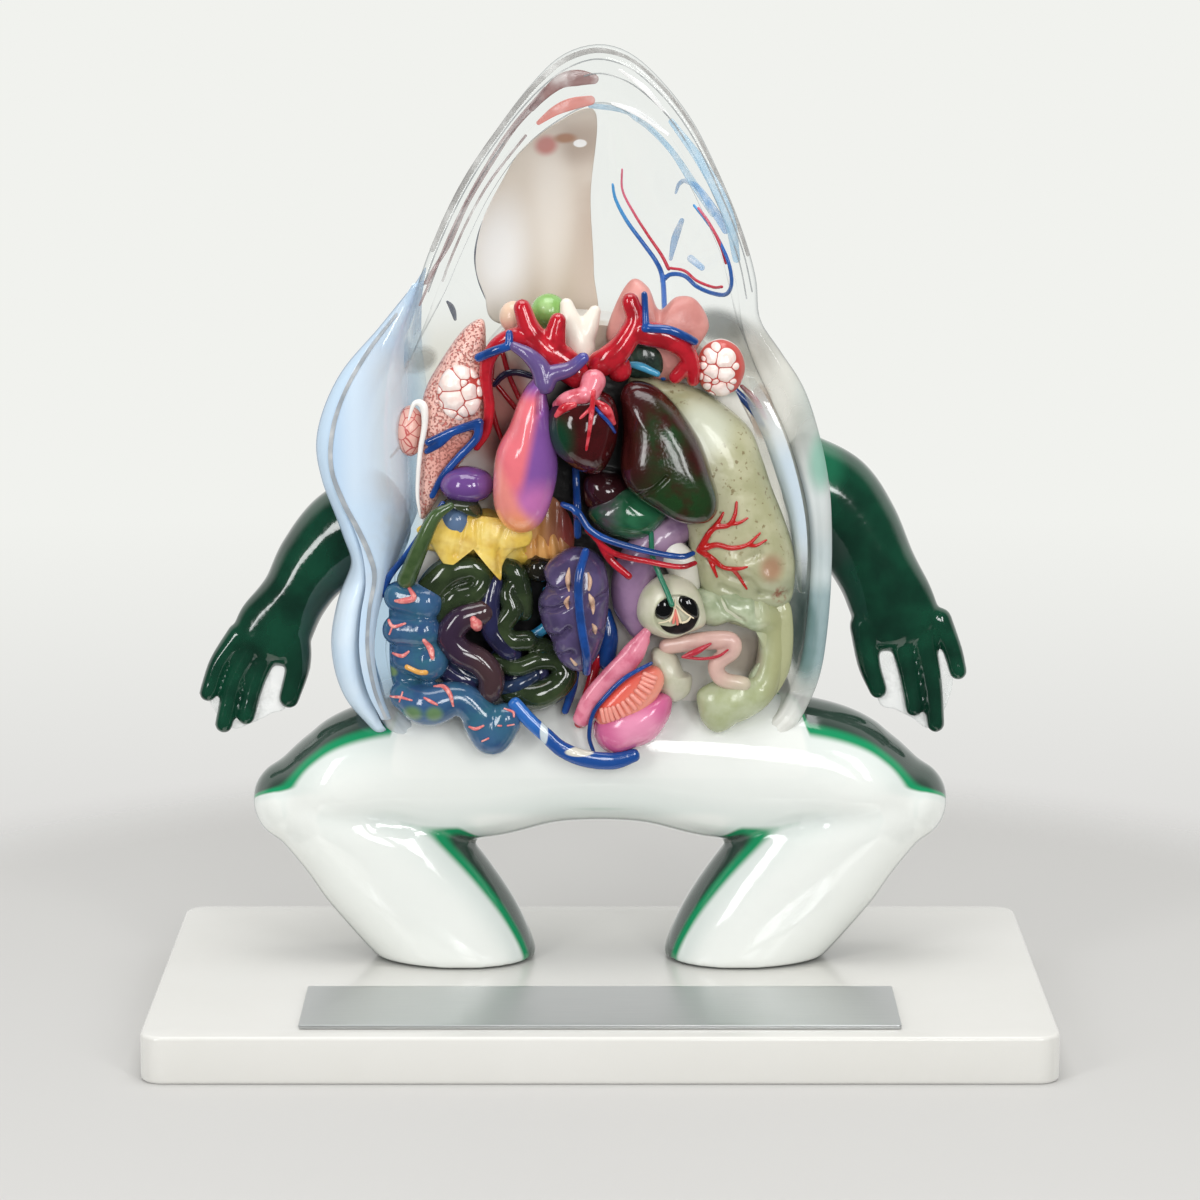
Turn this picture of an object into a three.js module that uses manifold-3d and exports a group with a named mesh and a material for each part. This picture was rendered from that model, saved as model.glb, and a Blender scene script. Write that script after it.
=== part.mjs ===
// Frog anatomy model: a standing frog, cut open at the front, on a white base plate.
// Millimetres, +Z up, the viewer at -Y. The origin is the middle of the base plate's underside.
// A clear dish makes the head and trunk. It holds a bed, and the organs sit in the bed.
import * as THREE from "three";
import { mergeVertices } from "three/addons/utils/BufferGeometryUtils.js";
import Module from "manifold-3d";

const wasm = await Module();
wasm.setup();

// Driving dimensions
const FROG_HEIGHT = 309; // from the table to the top of the head
const BASE_WIDTH = 280;
const BASE_DEPTH = 150;
const BASE_HEIGHT = 15;
const BASE_CORNER = 7;
const BASE_EDGE = 1.2;
const NAME_PLATE_WIDTH = 184;
const NAME_PLATE_DEPTH = 42;
const NAME_PLATE_THICKNESS = 1.2;
const NAME_PLATE_FROM_FRONT = 8;
const GLUE_FILM = 0.2;
const GAP = 0.35; // between neighbouring castings
const SCREW_RADIUS = 2;
const SCREW_HEAD_RADIUS = 3.8;
const SCREW_HEAD_HEIGHT = 2.6;
const SCREW_LENGTH = 24;
const SCREW_X = 44;
const SCREW_Y = 20;
const HEAD_SINK = 1.6; // how far a screw head lies above the underside

// Sizes of the frog, drawn for one height and then scaled to FROG_HEIGHT
const DRAWN_HEIGHT = 309;
const LEG_SPLIT_Y = 3; // the white front of the legs meets the green back here, at LEG_SPLIT_Z
const LEG_SPLIT_Z = 60;
const LEG_SPLIT_TILT = 4; // degrees; the joint leans forward towards the top
const LEG_DEPTH = 20; // half of the legs' thickness
const LEG_Y = 15; // middle plane of the legs
const RIM_Y = 3; // plane of the clear dish's rim
const RIM_BULGE = 7;
const DISH_DEPTH = 50;
const DISH_WALL = 4.5;
const DISH_POWER = 2.4;
const LINING_WALL = 1.4;
const LINING_FROM_RIM = 12;
const BED_FRONT = 5; // flat front of the bed that the organs lie on
const PEG_RADIUS = 2;
const PEG_IN_BED = 8;
const PULL = 45; // how far a loose organ pulls out
const LEG_MOULD_HEIGHT = 400; // of the block that parts the legs' two halves
const FAR = 600; // side of a cutting block, larger than the whole model

// A closed solid from rings of points, with a pole at each end.
function solidFromRings(firstPole, rings, lastPole) {
  const around = rings[0].length;
  const points = [firstPole, ...rings.flat(), lastPole];
  const last = points.length - 1;
  const faces = [];
  for (let i = 0; i < around; i++) {
    const next = (i + 1) % around;
    faces.push(0, 1 + next, 1 + i);
    for (let k = 0; k + 1 < rings.length; k++) {
      const a = 1 + k * around + i;
      const b = 1 + k * around + next;
      faces.push(a, b, b + around, a, b + around, a + around);
    }
    const end = 1 + (rings.length - 1) * around;
    faces.push(last, end + i, end + next);
  }
  const geometry = new THREE.BufferGeometry().setFromPoints(points);
  geometry.setIndex(faces);
  return solidOf(geometry);
}

// A three.js geometry as a manifold-3d solid.
function solidOf(geometry) {
  const bare = new THREE.BufferGeometry().setAttribute("position", geometry.getAttribute("position"));
  if (geometry.index) bare.setIndex(geometry.index);
  const merged = mergeVertices(bare, 1e-4);
  const index = merged.index.array;
  const kept = [];
  for (let i = 0; i < index.length; i += 3) {
    const [a, b, c] = [index[i], index[i + 1], index[i + 2]];
    if (a !== b && b !== c && c !== a) kept.push(a, b, c);
  }
  const make = (triVerts) =>
    new wasm.Manifold(
      new wasm.Mesh({
        numProp: 3,
        vertProperties: new Float32Array(merged.attributes.position.array),
        triVerts: new Uint32Array(triVerts),
      }),
    );
  const solid = make(kept);
  if (solid.volume() >= 0) return solid;
  const turned = [];
  for (let i = 0; i < kept.length; i += 3) turned.push(kept[i], kept[i + 2], kept[i + 1]);
  return make(turned);
}

const join = (...solids) => solids.flat().reduce((sum, solid) => sum.add(solid));

// The largest of the bodies that a cut leaves.
function largest(solid) {
  const bodies = solid.decompose();
  return bodies.reduce((best, body) => (body.volume() > best.volume() ? body : best));
}

// A round-ended tube along a curve. Each point is [x, y, z, half width, half depth].
// The half depth is measured along Y and is the half width unless it is given.
function tube(points, grow = 0, { sides = 8, steps = 2, caps = [30, 62] } = {}) {
  const path = new THREE.CatmullRomCurve3(points.map(([x, y, z]) => new THREE.Vector3(x, y, z)));
  const size = (pick) => new THREE.SplineCurve(points.map((p, i) => new THREE.Vector2(i, pick(p))));
  const widths = size((p) => p[3]);
  const depths = size((p) => p[4] ?? p[3]);
  const count = (points.length - 1) * steps;
  const forward = new THREE.Vector3(0, 1, 0);
  const section = (t, along, shrink) => {
    const tangent = path.getTangent(t);
    const across = new THREE.Vector3().crossVectors(forward, tangent).normalize();
    const depth = new THREE.Vector3().crossVectors(tangent, across).normalize();
    const w = widths.getPoint(t).y + grow;
    const d = depths.getPoint(t).y + grow;
    const centre = path.getPoint(t).addScaledVector(tangent, along * Math.min(w, d));
    const ring = [];
    for (let i = 0; i < sides; i++) {
      const angle = ((i + 0.5) / sides) * 2 * Math.PI;
      ring.push(
        centre
          .clone()
          .addScaledVector(across, w * shrink * Math.cos(angle))
          .addScaledVector(depth, d * shrink * Math.sin(angle)),
      );
    }
    return { centre, ring };
  };
  const rings = [];
  const capAngles = caps.map(THREE.MathUtils.degToRad);
  for (const angle of capAngles) rings.push(section(0, -Math.cos(angle), Math.sin(angle)).ring);
  for (let k = 0; k <= count; k++) rings.push(section(k / count, 0, 1).ring);
  for (const angle of [...capAngles].reverse()) rings.push(section(1, Math.cos(angle), Math.sin(angle)).ring);
  return solidFromRings(section(0, -1, 0).centre, rings, section(1, 1, 0).centre);
}

// Points round a closed outline of [x, z] corners, moved outwards by grow.
function roundOutline(outline, around, grow = 0) {
  const curve = new THREE.CatmullRomCurve3(
    outline.map(([x, z]) => new THREE.Vector3(x, 0, z)),
    true,
  );
  const middle = middleOf(outline);
  const points = [];
  for (let i = 0; i < around; i++) {
    const point = curve.getPoint(i / around);
    const away = point.clone().sub(middle);
    points.push(point.addScaledVector(away.normalize(), grow));
  }
  return points;
}

function middleOf(outline) {
  const xs = outline.map(([x]) => x);
  const zs = outline.map(([, z]) => z);
  return new THREE.Vector3(
    (Math.min(...xs) + Math.max(...xs)) / 2,
    0,
    (Math.min(...zs) + Math.max(...zs)) / 2,
  );
}

// A cushion-shaped casting: an outline in the XZ plane at y, domed towards the front and the back.
// ahead and behind stretch it into a column along Y.
function pad(shape, grow = 0, { ahead = 0, behind = 0 } = {}) {
  const { outline, y, front, back, power = 2, around = 12, steps = 3 } = shape;
  const edge = roundOutline(outline, around, grow);
  const middle = middleOf(outline);
  const ring = (share, level) =>
    edge.map((point) => {
      const placed = middle.clone().lerp(point, share);
      placed.y = level;
      return placed;
    });
  const dome = (depth, sign, shift) => {
    const rings = [];
    for (let k = 1; k < steps; k++) {
      const angle = (k / steps) * (Math.PI / 2);
      const share = Math.cos(angle) ** (2 / power);
      const height = (depth + grow) * Math.sin(angle) ** (2 / power);
      rings.push(ring(share, y + sign * height + shift));
    }
    return rings;
  };
  const rings = [...dome(back, 1, behind).reverse()];
  if (behind) rings.push(ring(1, y + behind));
  rings.push(ring(1, y));
  if (ahead) rings.push(ring(1, y - ahead));
  rings.push(...dome(front, -1, -ahead));
  const pole = (level) => new THREE.Vector3(middle.x, level, middle.z);
  return solidFromRings(pole(y + back + grow + behind), rings, pole(y - front - grow - ahead));
}

// How far out (x, z) lies on an outline: 0 in the middle, 1 on the edge.
function shareOut(outline, x, z) {
  const middle = middleOf(outline);
  const edge = roundOutline(outline, 72);
  const angle = Math.atan2(z - middle.z, x - middle.x);
  let best = edge[0];
  let nearest = Infinity;
  for (const point of edge) {
    const turn = Math.abs(Math.atan2(point.z - middle.z, point.x - middle.x) - angle);
    const off = Math.min(turn, 2 * Math.PI - turn);
    if (off < nearest) [nearest, best] = [off, point];
  }
  return Math.hypot(x - middle.x, z - middle.z) / Math.hypot(best.x - middle.x, best.z - middle.z);
}

const domeHeight = (share, depth, power) => depth * Math.max(0, 1 - share ** power) ** (1 / power);

// The Y of a pad's front face at (x, z).
const frontOf = (shape, x, z) =>
  shape.y - domeHeight(shareOut(shape.outline, x, z), shape.front, shape.power ?? 2);

const ball = (x, y, z, rx, ry = rx, rz = rx) => ({
  outline: [0, 1, 2, 3, 4, 5, 6, 7].map((i) => {
    const angle = (i / 8) * 2 * Math.PI;
    return [x + rx * Math.cos(angle), z + rz * Math.sin(angle)];
  }),
  y,
  front: ry,
  back: ry,
  around: 10,
});

// A block that fills the space on one side of a plane across an axis.
function beyond(axis, place, side) {
  const middle = new THREE.Vector3();
  middle[axis] = place + (side * FAR) / 2;
  return solidOf(new THREE.BoxGeometry(FAR, FAR, FAR).translate(middle.x, middle.y, middle.z));
}

// A drawn piece of the frog at the frog's real size.
const SCALE = FROG_HEIGHT / DRAWN_HEIGHT;
const sized = (draw) => (grow) => draw(grow / SCALE).scale([SCALE, SCALE, SCALE]);

// A round bar along Y, as the peg behind a loose organ.
function peg(x, z, from, to, grow = 0) {
  const bar = new THREE.CylinderGeometry(PEG_RADIUS + grow, PEG_RADIUS + grow, to - from + grow, 8);
  return solidOf(bar.translate(0, (from + to + grow) / 2, 0).translate(x, 0, z));
}

// Each tube in the list, grown and joined.
const tubes = (paths, grow, options) => join(paths.map((path) => tube(path, grow, options)));

// Base plate, name plate and foot screws
function roundedRectangle(width, depth, radius) {
  const [w, d] = [width / 2, depth / 2];
  const shape = new THREE.Shape();
  shape.moveTo(-w + radius, -d);
  shape.lineTo(w - radius, -d);
  shape.absarc(w - radius, -d + radius, radius, -Math.PI / 2, 0);
  shape.lineTo(w, d - radius);
  shape.absarc(w - radius, d - radius, radius, 0, Math.PI / 2);
  shape.lineTo(-w + radius, d);
  shape.absarc(-w + radius, d - radius, radius, Math.PI / 2, Math.PI);
  shape.lineTo(-w, -d + radius);
  shape.absarc(-w + radius, -d + radius, radius, Math.PI, 1.5 * Math.PI);
  return shape;
}

function screw(side, grow = 0) {
  const profile = [
    [0, HEAD_SINK - grow],
    [SCREW_HEAD_RADIUS + grow, HEAD_SINK - grow],
    [SCREW_HEAD_RADIUS + grow, HEAD_SINK + 0.8],
    [SCREW_RADIUS + grow, HEAD_SINK + SCREW_HEAD_HEIGHT + grow],
    [SCREW_RADIUS + grow, HEAD_SINK + SCREW_LENGTH],
    [0, HEAD_SINK + SCREW_LENGTH + SCREW_RADIUS + grow],
  ].map(([r, z]) => new THREE.Vector2(r, z));
  const turned = new THREE.LatheGeometry(profile, 8).rotateX(Math.PI / 2);
  return solidOf(turned.translate(side * SCREW_X, SCREW_Y, 0));
}

function basePlate() {
  const outline = roundedRectangle(BASE_WIDTH - 2 * BASE_EDGE, BASE_DEPTH - 2 * BASE_EDGE, BASE_CORNER);
  const plate = new THREE.ExtrudeGeometry(outline, {
    depth: BASE_HEIGHT - BASE_EDGE,
    bevelThickness: BASE_EDGE,
    bevelSize: BASE_EDGE,
    bevelSegments: 1,
    curveSegments: 3,
  });
  const above = solidOf(plate).subtract(beyond("z", 0, -1));
  const well = (side) => {
    const hole = new THREE.CylinderGeometry(SCREW_HEAD_RADIUS + GAP, SCREW_HEAD_RADIUS + GAP, 2 * HEAD_SINK, 8);
    return solidOf(hole.rotateX(Math.PI / 2).translate(side * SCREW_X, SCREW_Y, 0));
  };
  return [-1, 1].reduce((left, side) => left.subtract(join(screw(side, GAP), well(side))), above);
}

function namePlate() {
  const outline = roundedRectangle(NAME_PLATE_WIDTH, NAME_PLATE_DEPTH, 0.8);
  const plate = new THREE.ExtrudeGeometry(outline, {
    depth: NAME_PLATE_THICKNESS,
    bevelEnabled: false,
    curveSegments: 2,
  });
  const y = -BASE_DEPTH / 2 + NAME_PLATE_FROM_FRONT + NAME_PLATE_DEPTH / 2;
  return solidOf(plate.translate(0, y, BASE_HEIGHT + GLUE_FILM));
}

// Legs: one tube from knee to knee through the hips, and a shank below each knee.
const HIPS = [
  [-98, 67, 14],
  [-86, 71.5, 19],
  [-70, 77, 22.5],
  [-40, 79.5, 25],
  [-14, 82.5, 22.5],
];
const SHANK = [
  [-86, 64, 20],
  [-73, 53, 24],
  [-60, 38, 24.5],
  [-49, 24, 23.5],
  [-42, 12, 22.5],
];

function legs(grow = 0) {
  const left = HIPS.map(([x, z, w]) => [x, LEG_Y, z, w, Math.min(LEG_DEPTH, w + 1)]);
  const right = HIPS.map(([x, z, w]) => [-x, LEG_Y, z, w, Math.min(LEG_DEPTH, w + 1)]).reverse();
  const shank = (side) => SHANK.map(([x, z, w]) => [side * -x, LEG_Y, z, w, LEG_DEPTH - 1]);
  return join(
    tube([...left, ...right], grow, { sides: 11 }),
    tube(shank(-1), grow, { sides: 10, steps: 1 }),
    tube(shank(1), grow, { sides: 10, steps: 1 }),
  );
}

// The half of the legs in front of the mould's joint, or behind it.
function legHalf(front, grow) {
  const off = LEG_MOULD_HEIGHT / 2 + GAP / 2 - grow;
  const side = new THREE.BoxGeometry(LEG_MOULD_HEIGHT, LEG_MOULD_HEIGHT, LEG_MOULD_HEIGHT)
    .translate(0, front ? -off : off, 0)
    .rotateX(THREE.MathUtils.degToRad(LEG_SPLIT_TILT))
    .translate(0, LEG_SPLIT_Y, LEG_SPLIT_Z);
  return legs(grow).intersect(solidOf(side));
}

// The legs stand flat on the base plate, whatever their size.
const standing = (front) => (grow) =>
  sized((drawn) => legHalf(front, drawn))(grow).subtract(beyond("z", BASE_HEIGHT + GAP - grow, -1));

// The clear dish: head and trunk in one casting, open at the front.
const DISH_OUTER = [
  [-1, 309], [-12, 305.5], [-22, 296], [-32, 283], [-41, 270], [-48, 257], [-54, 243], [-59, 228],
  [-66, 212], [-74, 197], [-78, 182], [-77, 167], [-74, 153], [-71, 142], [-74, 127], [-75, 115],
  [-72, 103], [-66, 92], [-45, 82], [0, 78], [45, 82], [60, 92], [66, 101], [70, 112], [72, 126],
  [73, 142], [73, 158], [72, 172], [69, 187], [64, 202], [57, 213], [50, 224], [48.5, 237],
  [44.5, 251], [38, 267], [29, 285], [19, 298], [9, 306.5],
];
const DISH_INNER = [
  [-1, 295], [-14, 289], [-26, 279], [-36, 265], [-44, 249], [-50, 235], [-55, 222], [-61, 208],
  [-69, 194], [-72, 181], [-71, 168], [-68, 155], [-65, 143], [-67, 128], [-68, 117], [-65, 105],
  [-59, 95], [-40, 88], [0, 85], [40, 88], [54, 96], [60, 105], [64, 117], [66, 134], [66.5, 150],
  [65, 166], [60, 184], [54, 198], [48, 211], [44.5, 222], [43, 233], [40, 245], [34, 259],
  [28, 271], [20, 283], [9, 292],
];
const dishCavity = {
  outline: DISH_INNER,
  y: RIM_Y,
  front: 10,
  back: DISH_DEPTH - DISH_WALL,
  power: DISH_POWER,
  around: 32,
  steps: 4,
};

function dish(grow = 0) {
  const outside = { ...dishCavity, outline: DISH_OUTER, front: RIM_BULGE, back: DISH_DEPTH };
  return pad(outside, grow).subtract(pad(dishCavity, -grow, { ahead: 20 }));
}

// The Y of the dish's inner wall at (x, z).
const wallOf = (x, z) =>
  RIM_Y + domeHeight(shareOut(DISH_INNER, x, z), DISH_DEPTH - DISH_WALL, DISH_POWER);

// A column along Y behind the given y, with the outline in the XZ plane.
function column(outline, y, depth) {
  const shape = new THREE.Shape(outline.map(([x, z]) => new THREE.Vector2(x, z)));
  const block = new THREE.ExtrudeGeometry(shape, { depth, bevelEnabled: false });
  return solidOf(block.rotateX(Math.PI / 2).translate(0, y + depth, 0));
}

// The roof of the mouth: a sheet of even thickness that follows the dish's inner wall.
function lining() {
  const sheet = pad(dishCavity, -GAP).subtract(pad(dishCavity, -GAP - LINING_WALL));
  return largest(sheet.intersect(column(LINING, RIM_Y + LINING_FROM_RIM, DISH_DEPTH)));
}

const LINING = [
  [-1.5, 287], [-15, 283], [-25, 275], [-30, 267], [-37, 253], [-39.5, 239], [-37, 228],
  [-32, 218], [-3, 216], [-2, 235], [-3, 259],
];

// Blue-tinted skin flap along the frog's right flank (the viewer's left)
const FLANK = [
  [-57, 10, 232, 2.4, 12], [-66, 9, 217, 5, 14], [-76, 9, 202, 7, 16], [-82.5, 9, 187, 6.6, 17],
  [-82.5, 9, 175, 5.6, 17], [-77.5, 9, 158, 4.6, 16], [-74.5, 9, 146, 4.4, 15],
  [-78, 9, 132, 5.6, 16], [-79.5, 9, 119, 6, 16], [-77, 9, 106, 5.4, 14], [-70, 9, 95, 4, 12],
];

// Arms: forearm, palm, four fingers and the web between them, in one casting
const ARM_LEFT = {
  forearm: [
    [-70, 24, 157, 17, 14], [-82, 25, 151, 15.6, 13], [-91.5, 24, 142.5, 12.8, 11], [-98, 22.5, 132.5, 11, 9.5],
    [-104, 21, 123, 12.4, 7.5], [-107, 20, 118, 12, 6.5],
  ],
  fingers: [
    [[-116, 20, 120, 4], [-122.5, 19, 111, 3.2], [-126, 18, 101.5, 2.9]],
    [[-111, 19, 117, 4], [-117.6, 18.4, 105, 3.2], [-121, 17, 91.5, 3]],
    [[-106.5, 19, 115, 3.8], [-110.8, 18.4, 105, 3.2], [-113.8, 17, 94, 2.9]],
    [[-98, 20, 122, 5], [-97, 19, 111, 4.2], [-100, 18, 99.8, 3.4]],
  ],
  web: [
    [-98, 116], [-100.5, 98], [-106, 94.5], [-112, 91.5], [-119, 90], [-126, 100], [-122, 112], [-110, 118],
  ],
};
const ARM_RIGHT = {
  forearm: [
    [61, 24, 168, 18, 14], [73, 25, 162, 17.6, 13.5], [81.5, 24.5, 153.5, 15, 12.5], [88.5, 23, 141, 13.2, 11],
    [93.5, 21.5, 130.5, 13.6, 9], [97, 20, 123, 13, 7],
  ],
  fingers: [
    [[109, 20, 125, 4], [113.2, 19, 115, 3.3], [115, 18, 108.6, 2.9]],
    [[103.6, 19, 120, 4], [106.6, 18, 105, 3.4], [108, 17, 91.6, 2.9]],
    [[96.4, 19, 119, 3.9], [99.2, 18, 107, 3.2], [101, 17, 96.8, 2.9]],
    [[84.6, 20, 123, 4.6], [86.4, 19, 111, 3.8], [89.4, 18, 102.6, 3]],
  ],
  web: [[86, 118], [89.5, 99], [95, 96], [100, 93.5], [107, 90], [113, 102], [112, 115], [100, 120]],
};

function arm({ forearm, fingers, web }, grow = 0) {
  const sheet = { outline: web, y: 18.5, front: 0.7, back: 0.7, power: 8, around: 8, steps: 1 };
  return join(
    tube(forearm, grow, { sides: 8, caps: [50] }),
    fingers.map((finger) => tube(finger, grow, { sides: 5, steps: 1, caps: [50] })),
    pad(sheet, grow),
  );
}

// The bed that carries every organ: flat at the front, against the dish's wall at the back
const BED = [
  [-36, 213], [-28, 222], [-14, 223], [12, 221], [28, 219], [40, 206], [48, 190], [53, 172],
  [56, 152], [56, 128], [52, 108], [40, 98], [0, 95], [-44, 98], [-60, 108], [-63, 122],
  [-60, 142], [-56, 158], [-55, 190], [-47, 205],
];

const bedBack = { ...dishCavity, around: dishCavity.around / 2, steps: dishCavity.steps / 2 };
const organBed = () => column(BED, BED_FRONT, DISH_DEPTH).intersect(pad(bedBack, -2 * GAP));

// Organs that come off: the heart with its atria, the liver, a lung sac with its vein, a kidney
const HEART = {
  outline: [
    [-2, 204], [4, 202.5], [6, 194], [4, 185], [0, 178.5], [-7, 180], [-13, 184], [-16.3, 191],
    [-16, 199], [-10, 203.5],
  ],
  y: -14,
  front: 10,
  back: 24,
};
const LIVER = {
  outline: [
    [6.4, 203], [10, 206], [16, 205], [22, 200.5], [26.5, 195], [31.5, 187], [35, 177], [37, 169.5],
    [36, 164.5], [32, 161.8], [25, 162.2], [17, 166.5], [9.5, 172], [6.3, 179], [7, 190], [6.6, 198],
  ],
  y: -9,
  front: 12,
  back: 18,
  power: 2.2,
  around: 16,
};
const KIDNEY = {
  outline: [
    [-6, 154], [0, 151], [2.5, 144], [2.5, 133], [0, 121], [-5, 114.5], [-11, 116], [-14.5, 121],
    [-15.2, 124.5], [-18, 129], [-19.3, 137], [-16.8, 142], [-17.4, 147.5], [-12, 152.5],
  ],
  y: -9,
  front: 10,
  back: 18,
  around: 18,
};
const SAC = {
  outline: [
    [-18, 208.5], [-22, 206], [-25, 201], [-28, 193], [-32, 185], [-33.2, 176], [-32.8, 167],
    [-29, 160.6], [-23.5, 159], [-18, 162.5], [-14.5, 171], [-13, 180], [-14, 190], [-16, 200],
  ],
  y: -12,
  front: 10,
  back: 22,
};

const PEGS = {
  heart: { x: -5, z: 191, from: HEART.y },
  liver_main_lobe: { x: 21, z: 184, from: LIVER.y },
  kidney: { x: -8, z: 134, from: KIDNEY.y },
  lung_sac: { x: -23, z: 178, from: SAC.y },
};
const organPeg = ({ x, z, from }, grow) => peg(x, z, from, BED_FRONT + PEG_IN_BED, grow);

const CORONARY = [
  [[-2, -20, 204.5, 1.2], [-2.6, -23.6, 198, 1.2], [-3.4, -24.2, 192, 0.9], [-4.2, -23.8, 187, 0.7]],
  [[-2.6, -22.8, 200, 0.9], [-6.5, -22.4, 196, 0.8], [-9.5, -21, 192, 0.7]],
  [[-2, -21.6, 202, 0.9], [2, -20, 198, 0.9], [5, -16, 193, 0.8]],
];
const ATRIA = [
  [[-13, -14.5, 199.5, 1.8], [-10, -17.5, 201.6, 2.6], [-5, -18.6, 203, 2.9]],
  [[-3.6, -17.4, 203, 3.4], [-2, -15.5, 207, 3.9]],
];
const VENA = [
  [[-26.5, -12.5, 217.5, 1.6], [-22, -14, 215, 2.4], [-18.4, -14.5, 211, 3.1], [-17, -15, 206, 3.2]],
  [[-5.2, -14, 214, 1.9], [-9.5, -14, 210.6, 2.4], [-15, -14.5, 209, 2.9], [-17, -15, 206, 3.2]],
];
const KIDNEY_VEIN = [
  [-4.5, -15, 153.5, 1.4], [-6.4, -18.6, 147, 1.5], [-6.6, -19.4, 139, 1.5], [-5.6, -19.4, 130, 1.5],
  [-4.2, -17.8, 121, 1.5], [-4.2, -13, 115, 1.4],
];

// Vessels
const ARCH_LEFT = [
  [
    [-24, -9, 229, 2.8], [-21.5, -9, 222, 3.6], [-17, -9.5, 216, 5, 4.2], [-11, -9, 211.6, 5.2, 4.2],
    [-7, -9, 208, 4.4, 4],
  ],
  [[-13, -10, 225, 2.7], [-14, -10, 220, 3.6, 3.2], [-14.5, -9.5, 215, 4.4, 3.8]],
  [
    [-18, -9, 218, 3.6, 3.2], [-24, -9, 220, 3.2, 3], [-30, -8, 218.5, 2.8], [-34.5, -6, 213, 2.4],
    [-35.5, -5, 205, 2.1], [-34.5, -5, 198, 1.8], [-35.5, -4, 190, 1.6], [-38.5, -3, 184.5, 1.2],
  ],
];
const ARCH_RIGHT = [
  [
    [9.3, -9, 231, 2.8], [10.8, -9, 225, 3.2], [7, -10, 217.5, 3.9, 3.4], [3, -10, 213.5, 4.3, 3.8],
    [0, -9, 211.5, 4.3, 3.8],
  ],
  [
    [10, -9, 222, 3.4, 3.2], [15, -9, 221, 4, 3.6], [21, -8.5, 219.5, 3.8, 3.4], [26, -7.5, 216, 3.2],
    [28.7, -6, 210.5, 2.6], [29, -4, 206, 2.2],
  ],
  [[27.5, -6.5, 212, 2.4], [23.5, -5.5, 207, 2.2]],
  [[5, -8, 214, 3.4], [6, -7, 209.5, 4]],
];
const JUGULAR_LEFT = [
  [[-28, -11.4, 221.4, 1.2], [-28, -12.2, 217.6, 1.4]],
  [[-28, -12.2, 217.6, 1.4], [-33, -11.4, 215.8, 1.5], [-37.5, -8.6, 213.5, 1.5]],
];
const JUGULAR_RIGHT = [
  [[14, -12, 223, 1.4], [21, -12, 222.6, 1.4], [26, -11, 220.5, 1.4], [29.3, -9, 218.5, 1.3]],
  [[13.7, -8, 233, 1.1], [14, -10.5, 228, 1.1], [14.2, -12, 223, 1.2]],
];
const onWall = (points, radius, lift = 0) =>
  points.map(([x, z]) => [x, wallOf(x, z) - radius - GAP - lift, z, radius]);
const HEAD_VEIN = [
  [...onWall([[4, 264], [6, 257], [10.5, 249], [17.5, 240], [19.5, 234]], 1.1), [20, 24, 227, 1.2], [20, 8, 221, 1.3], [19.6, 3, 214, 1.3], [19.3, 1, 208, 1.3]],
  onWall([[19.5, 233], [24, 233], [30, 231], [35, 229.5], [39.5, 230], [40, 236], [37, 244], [33, 251], [29.5, 257]], 1.1),
];
const HEAD_ARTERY = [
  [...onWall([[7.6, 266], [9, 258.5], [13.4, 250.5], [20, 242], [22.4, 236.6]], 0.9, 0.3)],
];
const PULMONARY = [
  [[-37.5, -7.5, 193, 1.5], [-46, -7, 190, 1.4], [-53.5, -5.5, 186.5, 1.2]],
  [[-46, -7, 190, 1.3], [-50, -6, 186, 1.1], [-54, -4.5, 183.5, 1]],
  [[-37.5, -7.5, 193, 1.5], [-38.5, -7, 188, 1.4], [-44, -6.6, 182, 1.3], [-49, -6, 176, 1.2], [-52.5, -5, 169.5, 1]],
];

// Lungs, throat and head
const LUNG_LEFT = {
  outline: [
    [-36.5, 224], [-43, 220.5], [-51, 209], [-55, 201], [-56, 192], [-57, 178], [-57.5, 166],
    [-56, 161], [-52.5, 165], [-48, 173], [-42, 181], [-37, 187], [-35.5, 195], [-35, 205], [-35.5, 215],
  ],
  y: 2,
  front: 8,
  back: 9,
  power: 2.6,
};
const ALVEOLI_LEFT = { ...ball(-43.5, -4, 202, 7.2, 4.5, 8.8), back: 5 };
const LUNG_LOBE = { ...ball(-59.5, 2, 189, 4.6, 6, 8) };
const LUNG_RIGHT = {
  outline: [
    [2, 218], [5, 229], [10, 236.5], [15, 234], [18.5, 227], [24, 231], [30, 230], [34, 222], [30, 214],
    [28, 206], [18, 205], [8, 212],
  ],
  y: 3,
  front: 7,
  back: 8,
};
const ALVEOLI_RIGHT = { ...ball(37.5, -2, 209.5, 7.7, 6, 9), back: 9 };
const HYOID = [
  [[-10.4, -1, 229, 2.2], [-9, -2, 223.5, 3.6], [-6.5, -2, 217.5, 4.8], [-5.6, -2, 211, 4.4]],
  [[-1.6, -1, 227, 2], [-3.6, -1.6, 222.6, 3.4], [-6, -2, 218, 4.4]],
];
const LARYNX = ball(-16, 3, 226.5, 5.6);
const THYROID = ball(-27, 1, 225, 4.4, 5, 5);

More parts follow.
